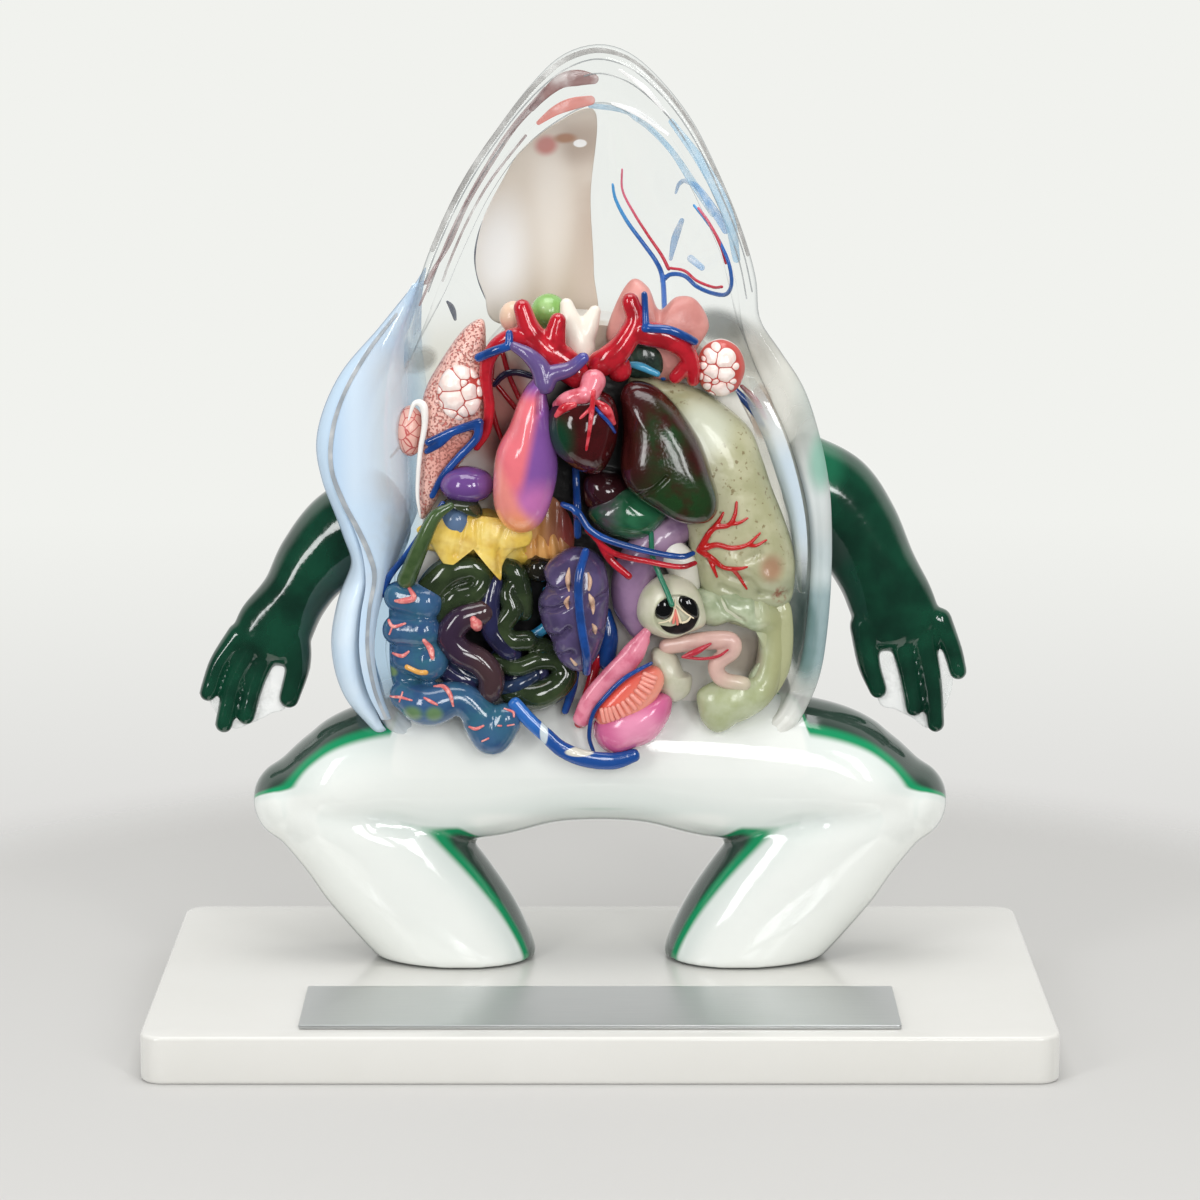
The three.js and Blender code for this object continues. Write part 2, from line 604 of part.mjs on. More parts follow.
// Belly organs
const STOMACH = {
  outline: [
    [9, 205], [20, 205], [30, 202.5], [39, 197], [47, 189.5], [51, 180], [54, 171], [58, 161],
    [61, 151], [61.5, 141], [59, 133], [50, 131], [41, 132], [33, 136], [29, 147], [26, 160], [19, 172], [11, 185],
  ],
  y: 3,
  front: 14,
  back: 8,
  power: 2.4,
  around: 18,
};
const onStomach = (points) => points.map(([x, z, r]) => [x, frontOf(STOMACH, x, z) - 0.3 * r, z, r]);
const STOMACH_TREE = [
  [[31, 153, 1.3], [35, 160, 1], [40, 161.3, 0.9], [42, 164.5, 0.8], [42.5, 168.5, 0.7]],
  [[35, 160, 1], [38, 164.5, 0.8]],
  [[31, 153, 1.3], [36, 155, 1], [41, 154, 0.9], [46, 155, 0.9], [50, 158.5, 0.7]],
  [[31, 153, 1.3], [35, 150.5, 1], [40, 147, 0.9], [45.5, 147, 0.7]],
  [[40, 147, 0.8], [44, 141.5, 0.7]],
];
const MESENTERIC_VEIN = [
  [[-11.5, -12, 168, 1.3], [-7, -14, 166, 1.5], [-3, -15, 160.5, 1.5], [4, -15.4, 156.8, 1.5], [16, -15.6, 153.6, 1.4], [25, -15, 152, 1.3], [29, -13.6, 152.8, 1.1]],
  [[-7.6, -4, 179, 1.6], [-7.4, -5, 172, 1.6], [-7, -9, 166, 1.7], [-7, -8, 157.5, 1.6]],
  [[-7, -8, 163, 1.5], [-7.6, -14, 166, 1.5]],
];
const MESENTERIC_ARTERY = [
  [[-4, -12, 160, 1.2], [4, -14.4, 153.2, 1.3], [16, -15, 150.3, 1.3], [25, -14.6, 148.7, 1.2], [29.6, -13, 149.6, 1.1]],
  [[-1, -12.4, 157.5, 1.4], [3, -13, 151, 1.7], [9, -13.4, 145.5, 1.5]],
];
const BILE_DUCT = [[16, -7, 158, 0.9], [16.4, -11, 151.5, 0.9], [18.5, -12.5, 146, 0.9], [21, -14.5, 140.5, 0.9], [22.4, -16, 137, 0.9]];
const GALLBLADDER = {
  outline: [[9, 172], [20.5, 165], [18.5, 159.5], [14, 156], [8, 155.8], [1, 158], [-4, 164], [1, 169]],
  y: -4,
  front: 8,
  back: 8,
  around: 16,
};
const LIVER_SMALL = {
  outline: [[-5.5, 174.5], [0, 177], [9, 174], [9.5, 167], [4, 164], [-4.5, 165.5]],
  y: -1,
  front: 8,
  back: 8,
  around: 16,
};
const DUODENUM = [
  [[25, 0, 159.5, 5.5], [18, -2, 154.5, 6.5], [11.5, -2, 146, 7], [10, -2, 136, 6.5], [13, -2, 128, 5]],
];
const TESTIS_RIGHT = {
  outline: [
    [14, 141], [19, 144.6], [25, 144.4], [30, 141], [32.6, 135], [33, 129], [28, 126.4], [22, 124.5],
    [15.5, 126.5], [11.8, 131], [11.8, 136.5],
  ],
  y: -7,
  front: 8,
  back: 8,
  around: 18,
};
const FAT_BODY = {
  outline: [
    [-55, 152], [-48, 156], [-42, 162], [-37, 164.5], [-31, 163], [-28, 158], [-22, 156], [-16, 151],
    [-22, 147], [-28.5, 146], [-31, 141.5], [-34.5, 147.5], [-41, 148], [-46, 145], [-49, 149.5],
  ],
  y: 1,
  front: 7,
  back: 8,
  around: 20,
};
const PANCREAS = {
  outline: [[-28, 154], [-20, 158.5], [-12, 158.5], [-8.4, 153.5], [-10, 147.5], [-18, 146], [-26, 148.5]],
  y: 1,
  front: 6,
  back: 7,
  around: 16,
};
const SPLEEN = ball(-41.5, -5, 173, 8.6, 8, 6);
const TESTIS_LEFT = ball(-45, -6, 162, 5.5);
const GREEN_GLAND = [
  [-46.5, -12, 167.5, 1.2], [-51.5, -13, 164, 2.1], [-56, -12.4, 154.5, 2.6], [-60.6, -8, 143.5, 3],
];
const SMALL_GREEN = [
  [
    [-53, -3, 130, 4.2], [-53.5, -5, 138, 5], [-48, -6, 145, 5.2], [-40.5, -6, 147, 4.4], [-36.6, -6, 143.6, 3.8],
    [-39.5, -7, 139, 3.8], [-46, -7, 136.8, 4], [-50, -5, 131, 3.8],
  ],
  [[-31, -3, 147.5, 3.4], [-26.5, -4, 144.5, 3.7], [-24.5, -4, 138, 3.4], [-24, -3, 132, 3]],
  [[-26, -3, 143, 3], [-29, -6, 138.5, 3], [-27.5, -7, 133.5, 3.3], [-30.5, -7, 128.5, 3.3], [-28.4, -7, 124, 3.3], [-22.8, -6, 123.5, 3.3]],
  [
    [-33, -5, 116.5, 2.8], [-26, -6, 115, 3], [-19.5, -5, 116.8, 3], [-13.5, -3, 116, 3.4], [-11, -3, 112, 4],
    [-14.5, -4, 107.8, 4.5], [-21, -5, 105.5, 4.7], [-28, -4, 106.5, 4],
  ],
  [[-22.8, -4, 123, 3], [-16.5, -1, 120, 3], [-13.5, -2, 116, 3.2]],
  [[-37, -4, 143, 3.4], [-31, -1, 144.5, 3.4], [-28, -2, 144, 3.4]],
];
const CAECUM = ball(-19.2, -2, 146, 4.9, 5, 4.6);
const SMALL_BROWN = [
  [
    [-37, -8, 133, 4.2], [-43.5, -9, 131, 4.4], [-47, -9, 125.6, 4.5], [-43.8, -9, 120.6, 4.5], [-38, -9, 117.5, 4.4],
    [-34.4, -9, 113, 4.3], [-34.6, -8, 108, 4], [-37.5, -6, 105, 3.2],
  ],
];
const SMALL_NAVY = [
  [[-33.4, -6, 142, 3], [-34.8, -7, 135, 3.5], [-34, -7, 127.5, 3.6], [-30, -7, 121.8, 3.4], [-27.5, -5, 119, 3]],
  [[-50.5, -4, 117.5, 3.6], [-47, -5, 113, 4], [-41.5, -5, 110.5, 4], [-38, -2, 113, 3.4]],
  [[-31, -2, 109, 3.5], [-25, -4, 110.4, 3.5], [-19, -3, 112.5, 3]],
  [[-38, -1, 113, 3.2], [-33, 2, 116, 3.2], [-30, 1, 119.6, 3.4]],
  [[-33, 2, 116, 3.2], [-30.5, 1, 112, 3.2], [-30, -1, 109.5, 3.4]],
];
const LARGE_INTESTINE = [
  [[-62, -3, 138, 4.6], [-61.5, -3, 126, 5], [-61, -3, 113, 5.2], [-58, -4, 103, 5.4]],
  [[-63, -5, 137.5, 5], [-55, -7, 136, 6]],
  [[-63.5, -6, 127, 5], [-55.5, -8, 127, 5.8]],
  [[-61, -6, 118.5, 5], [-54, -8, 117.5, 6.6]],
  [[-61, -6, 106, 5.4], [-54, -9, 103.5, 6.8], [-44, -9, 105.5, 5.4], [-37, -9, 99.5, 5.6]],
  [[-37.5, -9, 98, 5.8], [-34, -9, 93, 5.8], [-30, -9, 98.5, 5.6]],
];
const ABDOMINAL_VEIN = [
  [-27, -11, 104.5, 2.3, 1.6], [-22, -12, 99, 2.4, 1.6], [-17, -12.6, 94.5, 2.4, 1.6], [-12, -12.6, 90, 2.6, 1.8],
  [-5, -12.4, 87, 2.8, 1.8], [4, -12, 86, 2.8, 1.8], [11, -10.6, 87.6, 2.2, 1.6],
];
const UTERUS_STRAP = [
  [13.5, -9, 124.5, 2.2, 1.8], [9, -10, 118.5, 2.9, 2], [2.8, -10.4, 112, 3, 2],
  [-3, -10.4, 105, 2.8, 2], [-6, -10, 98.8, 2.4, 2],
];
const UTERUS_SECTION = {
  outline: [[18.5, 115.5], [20, 110], [14, 101], [6, 96.5], [-0.5, 97.5], [-1.5, 103], [5, 110.5], [12, 115]],
  y: -9,
  front: 6,
  back: 8,
  power: 2.6,
  around: 18,
};
const CLOACA = {
  outline: [[20.5, 107], [22.5, 101], [17.5, 92.5], [10, 89], [3.5, 87.5], [-1.2, 91.5], [-1.6, 98], [6, 104]],
  y: -7,
  front: 9,
  back: 8,
  around: 18,
};
const BLADDER = {
  outline: [[16, 119.5], [19, 121], [24, 118.5], [26.5, 113], [29, 111.4], [28, 106], [23, 103.4], [18.5, 107], [17, 113]],
  y: -4,
  front: 6.5,
  back: 8,
  around: 16,
};
const OVIDUCT = [
  [21, -5, 121.5, 2.6], [32, -7.4, 123.6, 3], [40.5, -8, 124, 2.9], [41.5, -8, 120.6, 2.8], [36.6, -8, 116.4, 2.7],
  [38.4, -7.6, 111.6, 2.6], [45, -6.4, 109.6, 2.6],
];
const OMENTUM = [
  [[34, 0, 133, 4.5], [41, -2, 134, 5.6], [50, -1, 131, 5.6], [54.5, 1, 127, 5], [54, 0, 116, 4.6], [51, -1, 107, 5], [44, -3, 103, 6], [37, -3, 100.5, 5]],
];

// Every piece: its name, colour, body and shape. A piece yields to those listed before it.
// An organ that lies on the bed is flat at the back.
const RED = 0xb3202c;
const BLUE = 0x1f4f96;
const pieces = [];
function piece(name, colour, shape, { body = "stand", column, opacity = 1, rough = 0.25 } = {}) {
  pieces.push({ name, colour, shape, body, column, opacity, rough });
}
const onBed = (solid, grow) => solid.subtract(beyond("y", BED_FRONT - GAP + grow, 1));
const frogPiece = (name, colour, draw, options) => piece(name, colour, sized(draw), options);
const padPiece = (name, colour, shape, options) =>
  frogPiece(name, colour, (grow) => onBed(pad(shape, grow), grow), options);
const tubePiece = (name, colour, paths, options = {}) =>
  frogPiece(name, colour, (grow) => onBed(tubes(paths, grow, options.mesh), grow), options);
const loosePiece = (name, colour, shape) =>
  frogPiece(name, colour, (grow) => join(onBed(pad(shape, grow), grow), organPeg(PEGS[name], grow)), {
    body: name,
    column: shape,
  });

for (const [name, side] of [["foot_screw_left", -1], ["foot_screw_right", 1]])
  piece(name, 0x9a9c9e, (grow) => screw(side, grow), { rough: 0.35 });
piece("base_plate", 0xf1f1ef, () => basePlate(), { rough: 0.2 });
piece("name_plate", 0xb4b7b8, () => namePlate(), { rough: 0.35 });
piece("legs_front", 0xe9ecea, standing(true), { rough: 0.15 });
piece("legs_back", 0x14593c, standing(false), { rough: 0.15 });

const hair = { sides: 4, steps: 1, caps: [] };
const fine = { sides: 5, steps: 1, caps: [] };
const slim = { sides: 6, steps: 1, caps: [45] };
const full = { sides: 7, steps: 1, caps: [45] };
frogPiece("head_vein", 0x2b66b5, (grow) => tubes(HEAD_VEIN, grow, hair));
frogPiece("head_artery", 0xc23a4a, (grow) => tubes(HEAD_ARTERY, grow, hair));
frogPiece("torso_shell", 0xe4eaec, dish, { opacity: 0.35, rough: 0.08 });
frogPiece("palate_lining", 0xcfc8bd, () => lining(), { opacity: 0.9 });
frogPiece("flank_flap", 0xa9cbe6, (grow) => tube(FLANK, grow, { sides: 8, steps: 1 }), {
  opacity: 0.4,
  rough: 0.08,
});
frogPiece("arm_left", 0x15402c, (grow) => arm(ARM_LEFT, grow), { rough: 0.15 });
frogPiece("arm_right", 0x15402c, (grow) => arm(ARM_RIGHT, grow), { rough: 0.15 });

tubePiece("atria", 0xe07f8b, [...ATRIA, ...CORONARY], { body: "heart", mesh: hair });
loosePiece("heart", 0x4a1c1a, HEART);
loosePiece("liver_main_lobe", 0x3a2018, LIVER);
tubePiece("vena_cava", 0x6a4a80, VENA, { body: "lung_sac", mesh: full });
loosePiece("lung_sac", 0xc06a92, SAC);
tubePiece("kidney_vein", BLUE, [KIDNEY_VEIN], { body: "kidney", mesh: slim });
loosePiece("kidney", 0x5c4a70, KIDNEY);

tubePiece("jugular_vein_left", BLUE, JUGULAR_LEFT, { mesh: slim });
tubePiece("jugular_vein_right", BLUE, JUGULAR_RIGHT, { mesh: slim });
tubePiece("aortic_arch_left", RED, ARCH_LEFT, { mesh: slim });
tubePiece("aortic_arch_right", RED, ARCH_RIGHT, { mesh: slim });
tubePiece("mesenteric_vein", BLUE, MESENTERIC_VEIN, { mesh: slim });
tubePiece("mesenteric_artery", RED, MESENTERIC_ARTERY, { mesh: slim });
tubePiece("stomach_arteries", 0xb01818, STOMACH_TREE.map(onStomach), { mesh: hair });
tubePiece("pulmonary_vein_left", BLUE, PULMONARY, { mesh: hair });
tubePiece("bile_duct", 0x2f7a5e, [BILE_DUCT], { mesh: fine });
tubePiece("uterus_strap", 0xe58aa0, [UTERUS_STRAP], { mesh: slim });
tubePiece("abdominal_vein", BLUE, [ABDOMINAL_VEIN], { mesh: slim });
tubePiece("green_gland", 0x46603a, [GREEN_GLAND], { mesh: slim });
tubePiece("oviduct", 0xd9b3a8, [OVIDUCT], { mesh: slim });

padPiece("gallbladder", 0x2f6e4c, GALLBLADDER);
padPiece("uterus_section", 0xe2604e, UTERUS_SECTION);
padPiece("cloaca", 0xdd7fa4, CLOACA);
padPiece("testis_right", 0xd3d0bd, TESTIS_RIGHT);
padPiece("testis_left", 0x5e7899, TESTIS_LEFT);
padPiece("spleen", 0x6d4c86, SPLEEN);
tubePiece("small_intestine_brown", 0x4a3438, SMALL_BROWN, { mesh: full });
tubePiece("small_intestine_green", 0x2f3a24, SMALL_GREEN, { mesh: slim });
tubePiece("small_intestine_navy", 0x2c2c4e, SMALL_NAVY, { mesh: slim });
tubePiece("large_intestine", 0x3f6488, LARGE_INTESTINE, { mesh: slim });
padPiece("caecum", 0x26221c, CAECUM);
padPiece("bladder", 0xcfccb8, BLADDER);
padPiece("liver_small_lobe", 0x3c1d1e, LIVER_SMALL);
padPiece("alveoli_left", 0xf3d6cc, ALVEOLI_LEFT);
padPiece("alveoli_right", 0xf0cfc6, ALVEOLI_RIGHT);
tubePiece("hyoid", 0xefe6d8, HYOID, { mesh: slim });
padPiece("larynx", 0x86b565, LARYNX);
padPiece("thyroid", 0xf0cdb2, THYROID);
tubePiece("duodenum", 0xa98aa8, DUODENUM, { mesh: full });
padPiece("pancreas", 0xc98a52, PANCREAS);
padPiece("fat_body", 0xe8c766, FAT_BODY);
padPiece("lung_left", 0xdf9f98, LUNG_LEFT);
padPiece("lung_lobe_left", 0xe8b0a4, LUNG_LOBE);
tubePiece("omentum", 0xa9b48a, OMENTUM, { mesh: full });
padPiece("stomach", 0xaeb597, STOMACH);
padPiece("lung_right", 0xdd948c, LUNG_RIGHT);
frogPiece("organ_bed", 0x8d7f72, () => organBed());

const overlaps = (a, b) =>
  [0, 1, 2].every((k) => a.min[k] < b.max[k] && b.min[k] < a.max[k]);

// Cuts each piece back from those before it, so that neighbours seat GAP apart.
// A loose organ also keeps the column in front of it free, so that it can come off.
function seatPieces() {
  const placed = [];
  for (const item of pieces) {
    let solid = item.shape(0);
    for (const other of placed) {
      const way = item.body === "stand" ? other.way : other.wholeWay;
      if (way && other.body !== item.body && overlaps(way.boundingBox(), solid.boundingBox()))
        solid = solid.subtract(way);
      if (overlaps(other.room.boundingBox(), solid.boundingBox())) solid = solid.subtract(other.room);
    }
    item.solid = largest(solid);
    item.room = item.shape(GAP);
    if (item.column) {
      item.way = sized((grow) => pad(item.column, grow, { ahead: PULL }))(GAP);
      item.wholeWay = sized((grow) => pad(item.column, grow, { ahead: PULL, behind: PULL }))(GAP);
    }
    placed.push(item);
  }
}

function meshOf({ name, colour, solid, opacity, rough }) {
  const { numProp, vertProperties, triVerts, numVert } = solid.getMesh();
  const position = new Float32Array(numVert * 3);
  for (let i = 0; i < numVert; i++) position.set(vertProperties.subarray(i * numProp, i * numProp + 3), i * 3);
  const geometry = new THREE.BufferGeometry();
  geometry.setAttribute("position", new THREE.BufferAttribute(position, 3));
  geometry.setIndex(new THREE.BufferAttribute(new Uint32Array(triVerts), 1));
  geometry.computeVertexNormals();
  const material = new THREE.MeshStandardMaterial({
    color: colour,
    roughness: rough,
    metalness: name.includes("plate") && name.startsWith("name") ? 1 : 0,
    transparent: opacity < 1,
    opacity,
  });
  const mesh = new THREE.Mesh(geometry, material);
  mesh.name = name;
  return mesh;
}

seatPieces();
const model = new THREE.Group();
for (const item of pieces) model.add(meshOf(item));
export default model;
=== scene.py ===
# %% [markdown]
# # Frog anatomy model
# A standing frog, cut open at the front. A clear cast dish makes the head and trunk, the organs are
# enamelled castings that lie on a bed inside it, and two enamelled legs stand on a white base plate.
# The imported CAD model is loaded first. Every new piece is worked out in the same millimetres and
# then written in metres, so it falls where its CAD solid is.

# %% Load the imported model
import math

import bpy
import numpy as np
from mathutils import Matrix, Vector
from mathutils.bvhtree import BVHTree


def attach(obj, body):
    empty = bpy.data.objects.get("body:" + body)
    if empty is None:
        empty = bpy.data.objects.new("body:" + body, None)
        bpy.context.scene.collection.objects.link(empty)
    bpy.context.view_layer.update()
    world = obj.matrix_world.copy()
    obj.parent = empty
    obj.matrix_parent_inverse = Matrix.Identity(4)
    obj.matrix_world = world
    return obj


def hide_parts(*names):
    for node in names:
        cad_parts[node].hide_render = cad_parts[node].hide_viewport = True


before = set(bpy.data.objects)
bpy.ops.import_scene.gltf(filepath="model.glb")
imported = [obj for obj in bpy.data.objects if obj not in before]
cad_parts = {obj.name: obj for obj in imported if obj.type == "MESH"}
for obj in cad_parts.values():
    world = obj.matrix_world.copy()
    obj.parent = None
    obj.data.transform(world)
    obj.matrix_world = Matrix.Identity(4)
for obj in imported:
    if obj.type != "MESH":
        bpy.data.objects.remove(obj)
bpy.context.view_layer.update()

# %% [markdown]
# ## Sizes
# The sizes are those of the CAD model. They are named once here and used by every surface below.

# %% Sizes in millimetres
MM = 0.001
BASE_WIDTH, BASE_DEPTH, BASE_HEIGHT = 280, 150, 15
NAME_PLATE = {"width": 184, "depth": 42, "thickness": 1.2, "y": -46}
GLUE_FILM = 0.2
LEG_SPLIT_Y, LEG_SPLIT_Z, LEG_SPLIT_TILT = 3, 60, math.radians(4)
LEG_DEPTH, LEG_Y = 20, 15
RIM_Y = 3
DISH_DEPTH, DISH_WALL, DISH_POWER = 50, 4.5, 2.4
BED_FRONT, GAP = 5, 0.35
ORGAN_BACK = BED_FRONT - GAP
PEG_RADIUS, PEG_END = 2, 13
THINNEST, RAY_FROM = 0.15, -200  # least half width of a tube, and the y from which rays start
print("base", BASE_WIDTH, "x", BASE_DEPTH, "x", BASE_HEIGHT, "mm")

# %% [markdown]
# ## Curves and closed skins
# Nearly everything here is a soft, cast form. Such a form could be pushed about by hand in sculpt
# mode. Here it is computed instead: a smooth curve runs through a few measured points, and rings of
# points round it or inside it make a closed skin. The numbers then stay next to the CAD's.


# %% A smooth curve through points
def spline(points, places, closed=False):
    """Catmull-Rom curve: between two points it is the cubic whose slope at each of them is half the
    step between that point's neighbours. places runs from 0 to 1 over the whole curve."""
    p = np.asarray(points, float)
    t = np.asarray(places, float) * (len(p) if closed else len(p) - 1)
    if closed:
        i = np.floor(t).astype(int)
        a, b, c, d = (p[(i + k) % len(p)] for k in (-1, 0, 1, 2))
    else:
        longer = np.vstack([2 * p[:1] - p[1:2], p, 2 * p[-1:] - p[-2:-1]])
        i = np.clip(np.floor(t).astype(int), 0, len(p) - 2)
        a, b, c, d = (longer[i + k] for k in (0, 1, 2, 3))
    f = (t - i)[:, None]
    return 0.5 * (2 * b + (c - a) * f + (2 * a - 5 * b + 4 * c - d) * f**2 + (3 * b - a - 3 * c + d) * f**3)


def unit(v):
    """Each row divided by its length."""
    return v / np.maximum(np.linalg.norm(v, axis=-1, keepdims=True), 1e-9)


# %% A closed skin over rings of points
def skin(rings):
    """Quads join each ring to the next, and a fan of triangles closes each end to the ring's mean."""
    m, n = rings.shape[:2]
    points = np.vstack([rings.reshape(-1, 3), rings[0].mean(0), rings[-1].mean(0)])
    i = np.arange(n)
    j = (i + 1) % n
    k = np.arange(m - 1)[:, None] * n
    quads = np.stack([k + i, k + j, k + n + j, k + n + i], -1).reshape(-1, 4)
    first = np.stack([np.full(n, m * n), j, i], -1)
    last = np.stack([np.full(n, m * n + 1), (m - 1) * n + i, (m - 1) * n + j], -1)
    triangles = np.vstack([quads[:, [0, 1, 2]], quads[:, [0, 2, 3]], first, last])
    a, b, c = (points[triangles[:, s]] for s in range(3))
    if np.einsum("ij,ij->", a, np.cross(b, c)) < 0:
        quads, first, last = quads[:, ::-1], first[:, ::-1], last[:, ::-1]
    return points, quads, np.vstack([first, last])


# %% Tubes and pads
def tube(points, around=20, along=8, grow=0.0):
    """A round-ended tube along a curve. Each point is x, y, z, half width and half depth; the half
    depth is measured along Y. A ring is an ellipse across the curve, and each end is half a ball."""
    rows = np.array([list(p) + [p[3]] * (5 - len(p)) for p in points], float)
    places = np.linspace(0, 1, (len(rows) - 1) * along + 1)
    path = spline(rows, places)
    centre, size = path[:, :3], np.maximum(path[:, 3:5] + grow, THINNEST)
    tangent = unit(np.gradient(centre, axis=0))
    caps = np.radians([0.5, 14, 28, 42, 56, 70])
    shift = np.concatenate([-np.cos(caps), np.zeros(len(centre)), np.cos(caps[::-1])])
    shrink = np.concatenate([np.sin(caps), np.ones(len(centre)), np.sin(caps[::-1])])
    centre, size, tangent = (
        np.concatenate([np.repeat(v[:1], len(caps), 0), v, np.repeat(v[-1:], len(caps), 0)])
        for v in (centre, size, tangent)
    )
    centre = centre + tangent * (shift * size.min(1))[:, None]
    across = unit(np.cross([0.0, 1.0, 0.0], tangent))
    depth = unit(np.cross(tangent, across))
    angle = np.linspace(0, 2 * np.pi, around, endpoint=False)
    out = shrink[:, None, None] * size[:, None, :]
    rings = centre[:, None] + out[..., :1] * np.cos(angle)[None, :, None] * across[:, None]
    return rings + out[..., 1:] * np.sin(angle)[None, :, None] * depth[:, None]


def middle_of(outline):
    """The middle of the outline's box."""
    corners = np.asarray(outline, float)
    return (corners.min(0) + corners.max(0)) / 2


def pad(shape, around=96, steps=14, grow=0.0, back=ORGAN_BACK):
    """A cushion-shaped casting. Its outline lies at y, and rings of it shrink by cos^(2/power) while
    they rise by sin^(2/power) to the front and the back, which is a superellipse. The back is cut
    flat where it meets the bed."""
    power = shape["power"]
    edge = spline(shape["outline"], np.linspace(0, 1, around, endpoint=False), closed=True)
    middle = middle_of(shape["outline"])
    edge = edge + unit(edge - middle) * grow
    angle = np.linspace(0.02, np.pi / 2, steps)
    share = np.concatenate([np.sin(angle), np.sin(angle[::-1][1:])]) ** (2 / power)
    behind, before = shape["back"] + grow, shape["front"] + grow
    height = np.concatenate([np.cos(angle) * behind, -np.cos(angle[::-1][1:]) * before])
    reach = np.where(height > 0, behind, before)
    height = np.sign(height) * np.abs(height) ** (2 / power) * reach ** (1 - 2 / power)
    flat = middle + share[:, None, None] * (edge - middle)
    y = np.broadcast_to((shape["y"] + height)[:, None], flat.shape[:2])
    rings = np.stack([flat[..., 0], y, flat[..., 1]], -1)
    if back is not None:
        rings[..., 1] = np.minimum(rings[..., 1], back)
    return rings


def cushion(outline, y, front, back, power=2):
    """The shape of a pad: its outline of x, z points, the y of that outline, and how far the pad
    stands out to the front and the back."""
    return {"outline": outline, "y": y, "front": front, "back": back, "power": power}


def ball(x, y, z, rx, ry=None, rz=None):
    """A ball or egg as a pad: eight points of its outline and equal depths."""
    ry, rz = ry or rx, rz or rx
    turn = np.arange(8) / 8 * 2 * np.pi
    outline = np.stack([x + rx * np.cos(turn), z + rz * np.sin(turn)], -1)
    return cushion(outline.tolist(), y, ry, ry)


print("a tube's rings:", tube([[0, 0, 0, 1], [10, 1, 0, 1]]).shape)

# %% [markdown]
# ## Sculpted detail
# Creases, lobes and folds are pressed into a finished skin: every point near a drawn line moves
# inwards, by an amount that falls off smoothly with its distance from the line.


# %% Press a line into a skin
def off_line(points, line):
    """Distance in the XZ plane from each point to a line of straight stretches."""
    flat = points[..., [0, 2]]
    best = np.full(flat.shape[:-1], np.inf)
    for a, b in zip(line[:-1], line[1:]):
        a, step = np.asarray(a, float), np.subtract(b, a).astype(float)
        share = np.clip((flat - a) @ step / (step @ step), 0, 1)
        best = np.minimum(best, np.linalg.norm(flat - a - share[..., None] * step, axis=-1))
    return best


def press(rings, lines, width, depth, front_of=0.0):
    """Moves the front of a skin back by depth * exp(-(distance / width)^2) along each line. A negative
    depth raises a ridge. Points behind y = front_of stay."""
    pushed = rings.copy()
    for line in lines:
        fall = np.exp(-((off_line(rings, line) / width) ** 2))
        pushed[..., 1] += depth * fall * np.clip((front_of - rings[..., 1]) / 2, 0, 1)
    return pushed


# %% [markdown]
# ## From skins to objects
# One function makes an object from one or more closed skins. Where several tubes make one casting,
# as in a forked vessel or a pair of legs, a voxel remesh joins them and a smoothing pass leaves the
# soft fillet that a mould gives. A boolean would leave sharp seams there.


# %% Make an object
def made(name, skins, material, body="stand", slot=None, replaces=()):
    """One object from closed skins: their points and faces are stacked and given to from_pydata."""
    points, faces, start = [], [], 0
    for rings in skins:
        p, quads, triangles = skin(rings) if isinstance(rings, np.ndarray) else rings
        points.append(p)
        faces += (quads + start).tolist() + (triangles + start).tolist()
        start += len(p)
    mesh = bpy.data.meshes.new(name)
    mesh.from_pydata((np.vstack(points) * MM).tolist(), [], faces)
    mesh.polygons.foreach_set("use_smooth", np.ones(len(mesh.polygons), bool))
    mesh.update()
    if material is not None:
        mesh.materials.append(material)
    piece = bpy.data.objects.new(name, mesh)
    bpy.context.scene.collection.objects.link(piece)
    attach(piece, body)
    if replaces:
        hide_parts(*replaces)
    return piece


def cast(node, rings, material, slot, body="stand", name=None):
    """The casting that stands for one CAD node and is named after it."""
    return made((name or node) + "_casting", [rings], material, body, slot, [node])


def apply_modifiers(piece):
    """Turns what a piece's modifiers show into its mesh."""
    bpy.context.view_layer.update()
    whole = bpy.data.meshes.new_from_object(piece.evaluated_get(bpy.context.evaluated_depsgraph_get()))
    piece.modifiers.clear()
    old, piece.data = piece.data, whole
    bpy.data.meshes.remove(old)
    whole.name = piece.name


def fused(name, skins, material, voxel=0.5, rounds=4, **how):
    """One casting from overlapping skins: voxel remesh at that grid size, then a smoothing pass."""
    piece = made(name, skins, material, **how)
    remesh = piece.modifiers.new("join", "REMESH")
    remesh.mode, remesh.voxel_size, remesh.use_smooth_shade = "VOXEL", voxel * MM, True
    smooth = piece.modifiers.new("fillet", "SMOOTH")
    smooth.factor, smooth.iterations = 0.5, rounds
    apply_modifiers(piece)
    print(name, len(piece.data.polygons), "faces")
    return piece


def strands(name, paths, around, along, material, slot, y=None):
    """Separate tubes as one piece. Where y is given, the points of a path are x, z, radius."""
    if y is not None:
        paths = [[[x, y, z, radius] for x, z, radius in path] for path in paths]
    made(name, [tube(path, around, along) for path in paths], material, slot=slot)


def vessel(node, paths, material, slot, voxel=0.4, around=24, along=10, name=None, **how):
    """Tubes that are fused into the casting of one CAD node."""
    skins = [tube(path, around, along) for path in paths]
    return fused((name or node) + "_casting", skins, material, voxel, slot=slot, replaces=[node], **how)


# %% Lay a path on a finished piece
def points_of(piece):
    """A piece's own points, in metres."""
    points = np.empty(len(piece.data.vertices) * 3, np.float32)
    piece.data.vertices.foreach_get("co", points)
    return points.reshape(-1, 3)


def tree_of(*pieces):
    """What rays can hit: all the faces of these pieces."""
    points, faces, start = [], [], 0
    for piece in pieces:
        points += points_of(piece).tolist()
        faces += [[start + v for v in p.vertices] for p in piece.data.polygons]
        start = len(points)
    return BVHTree.FromPolygons(points, faces)


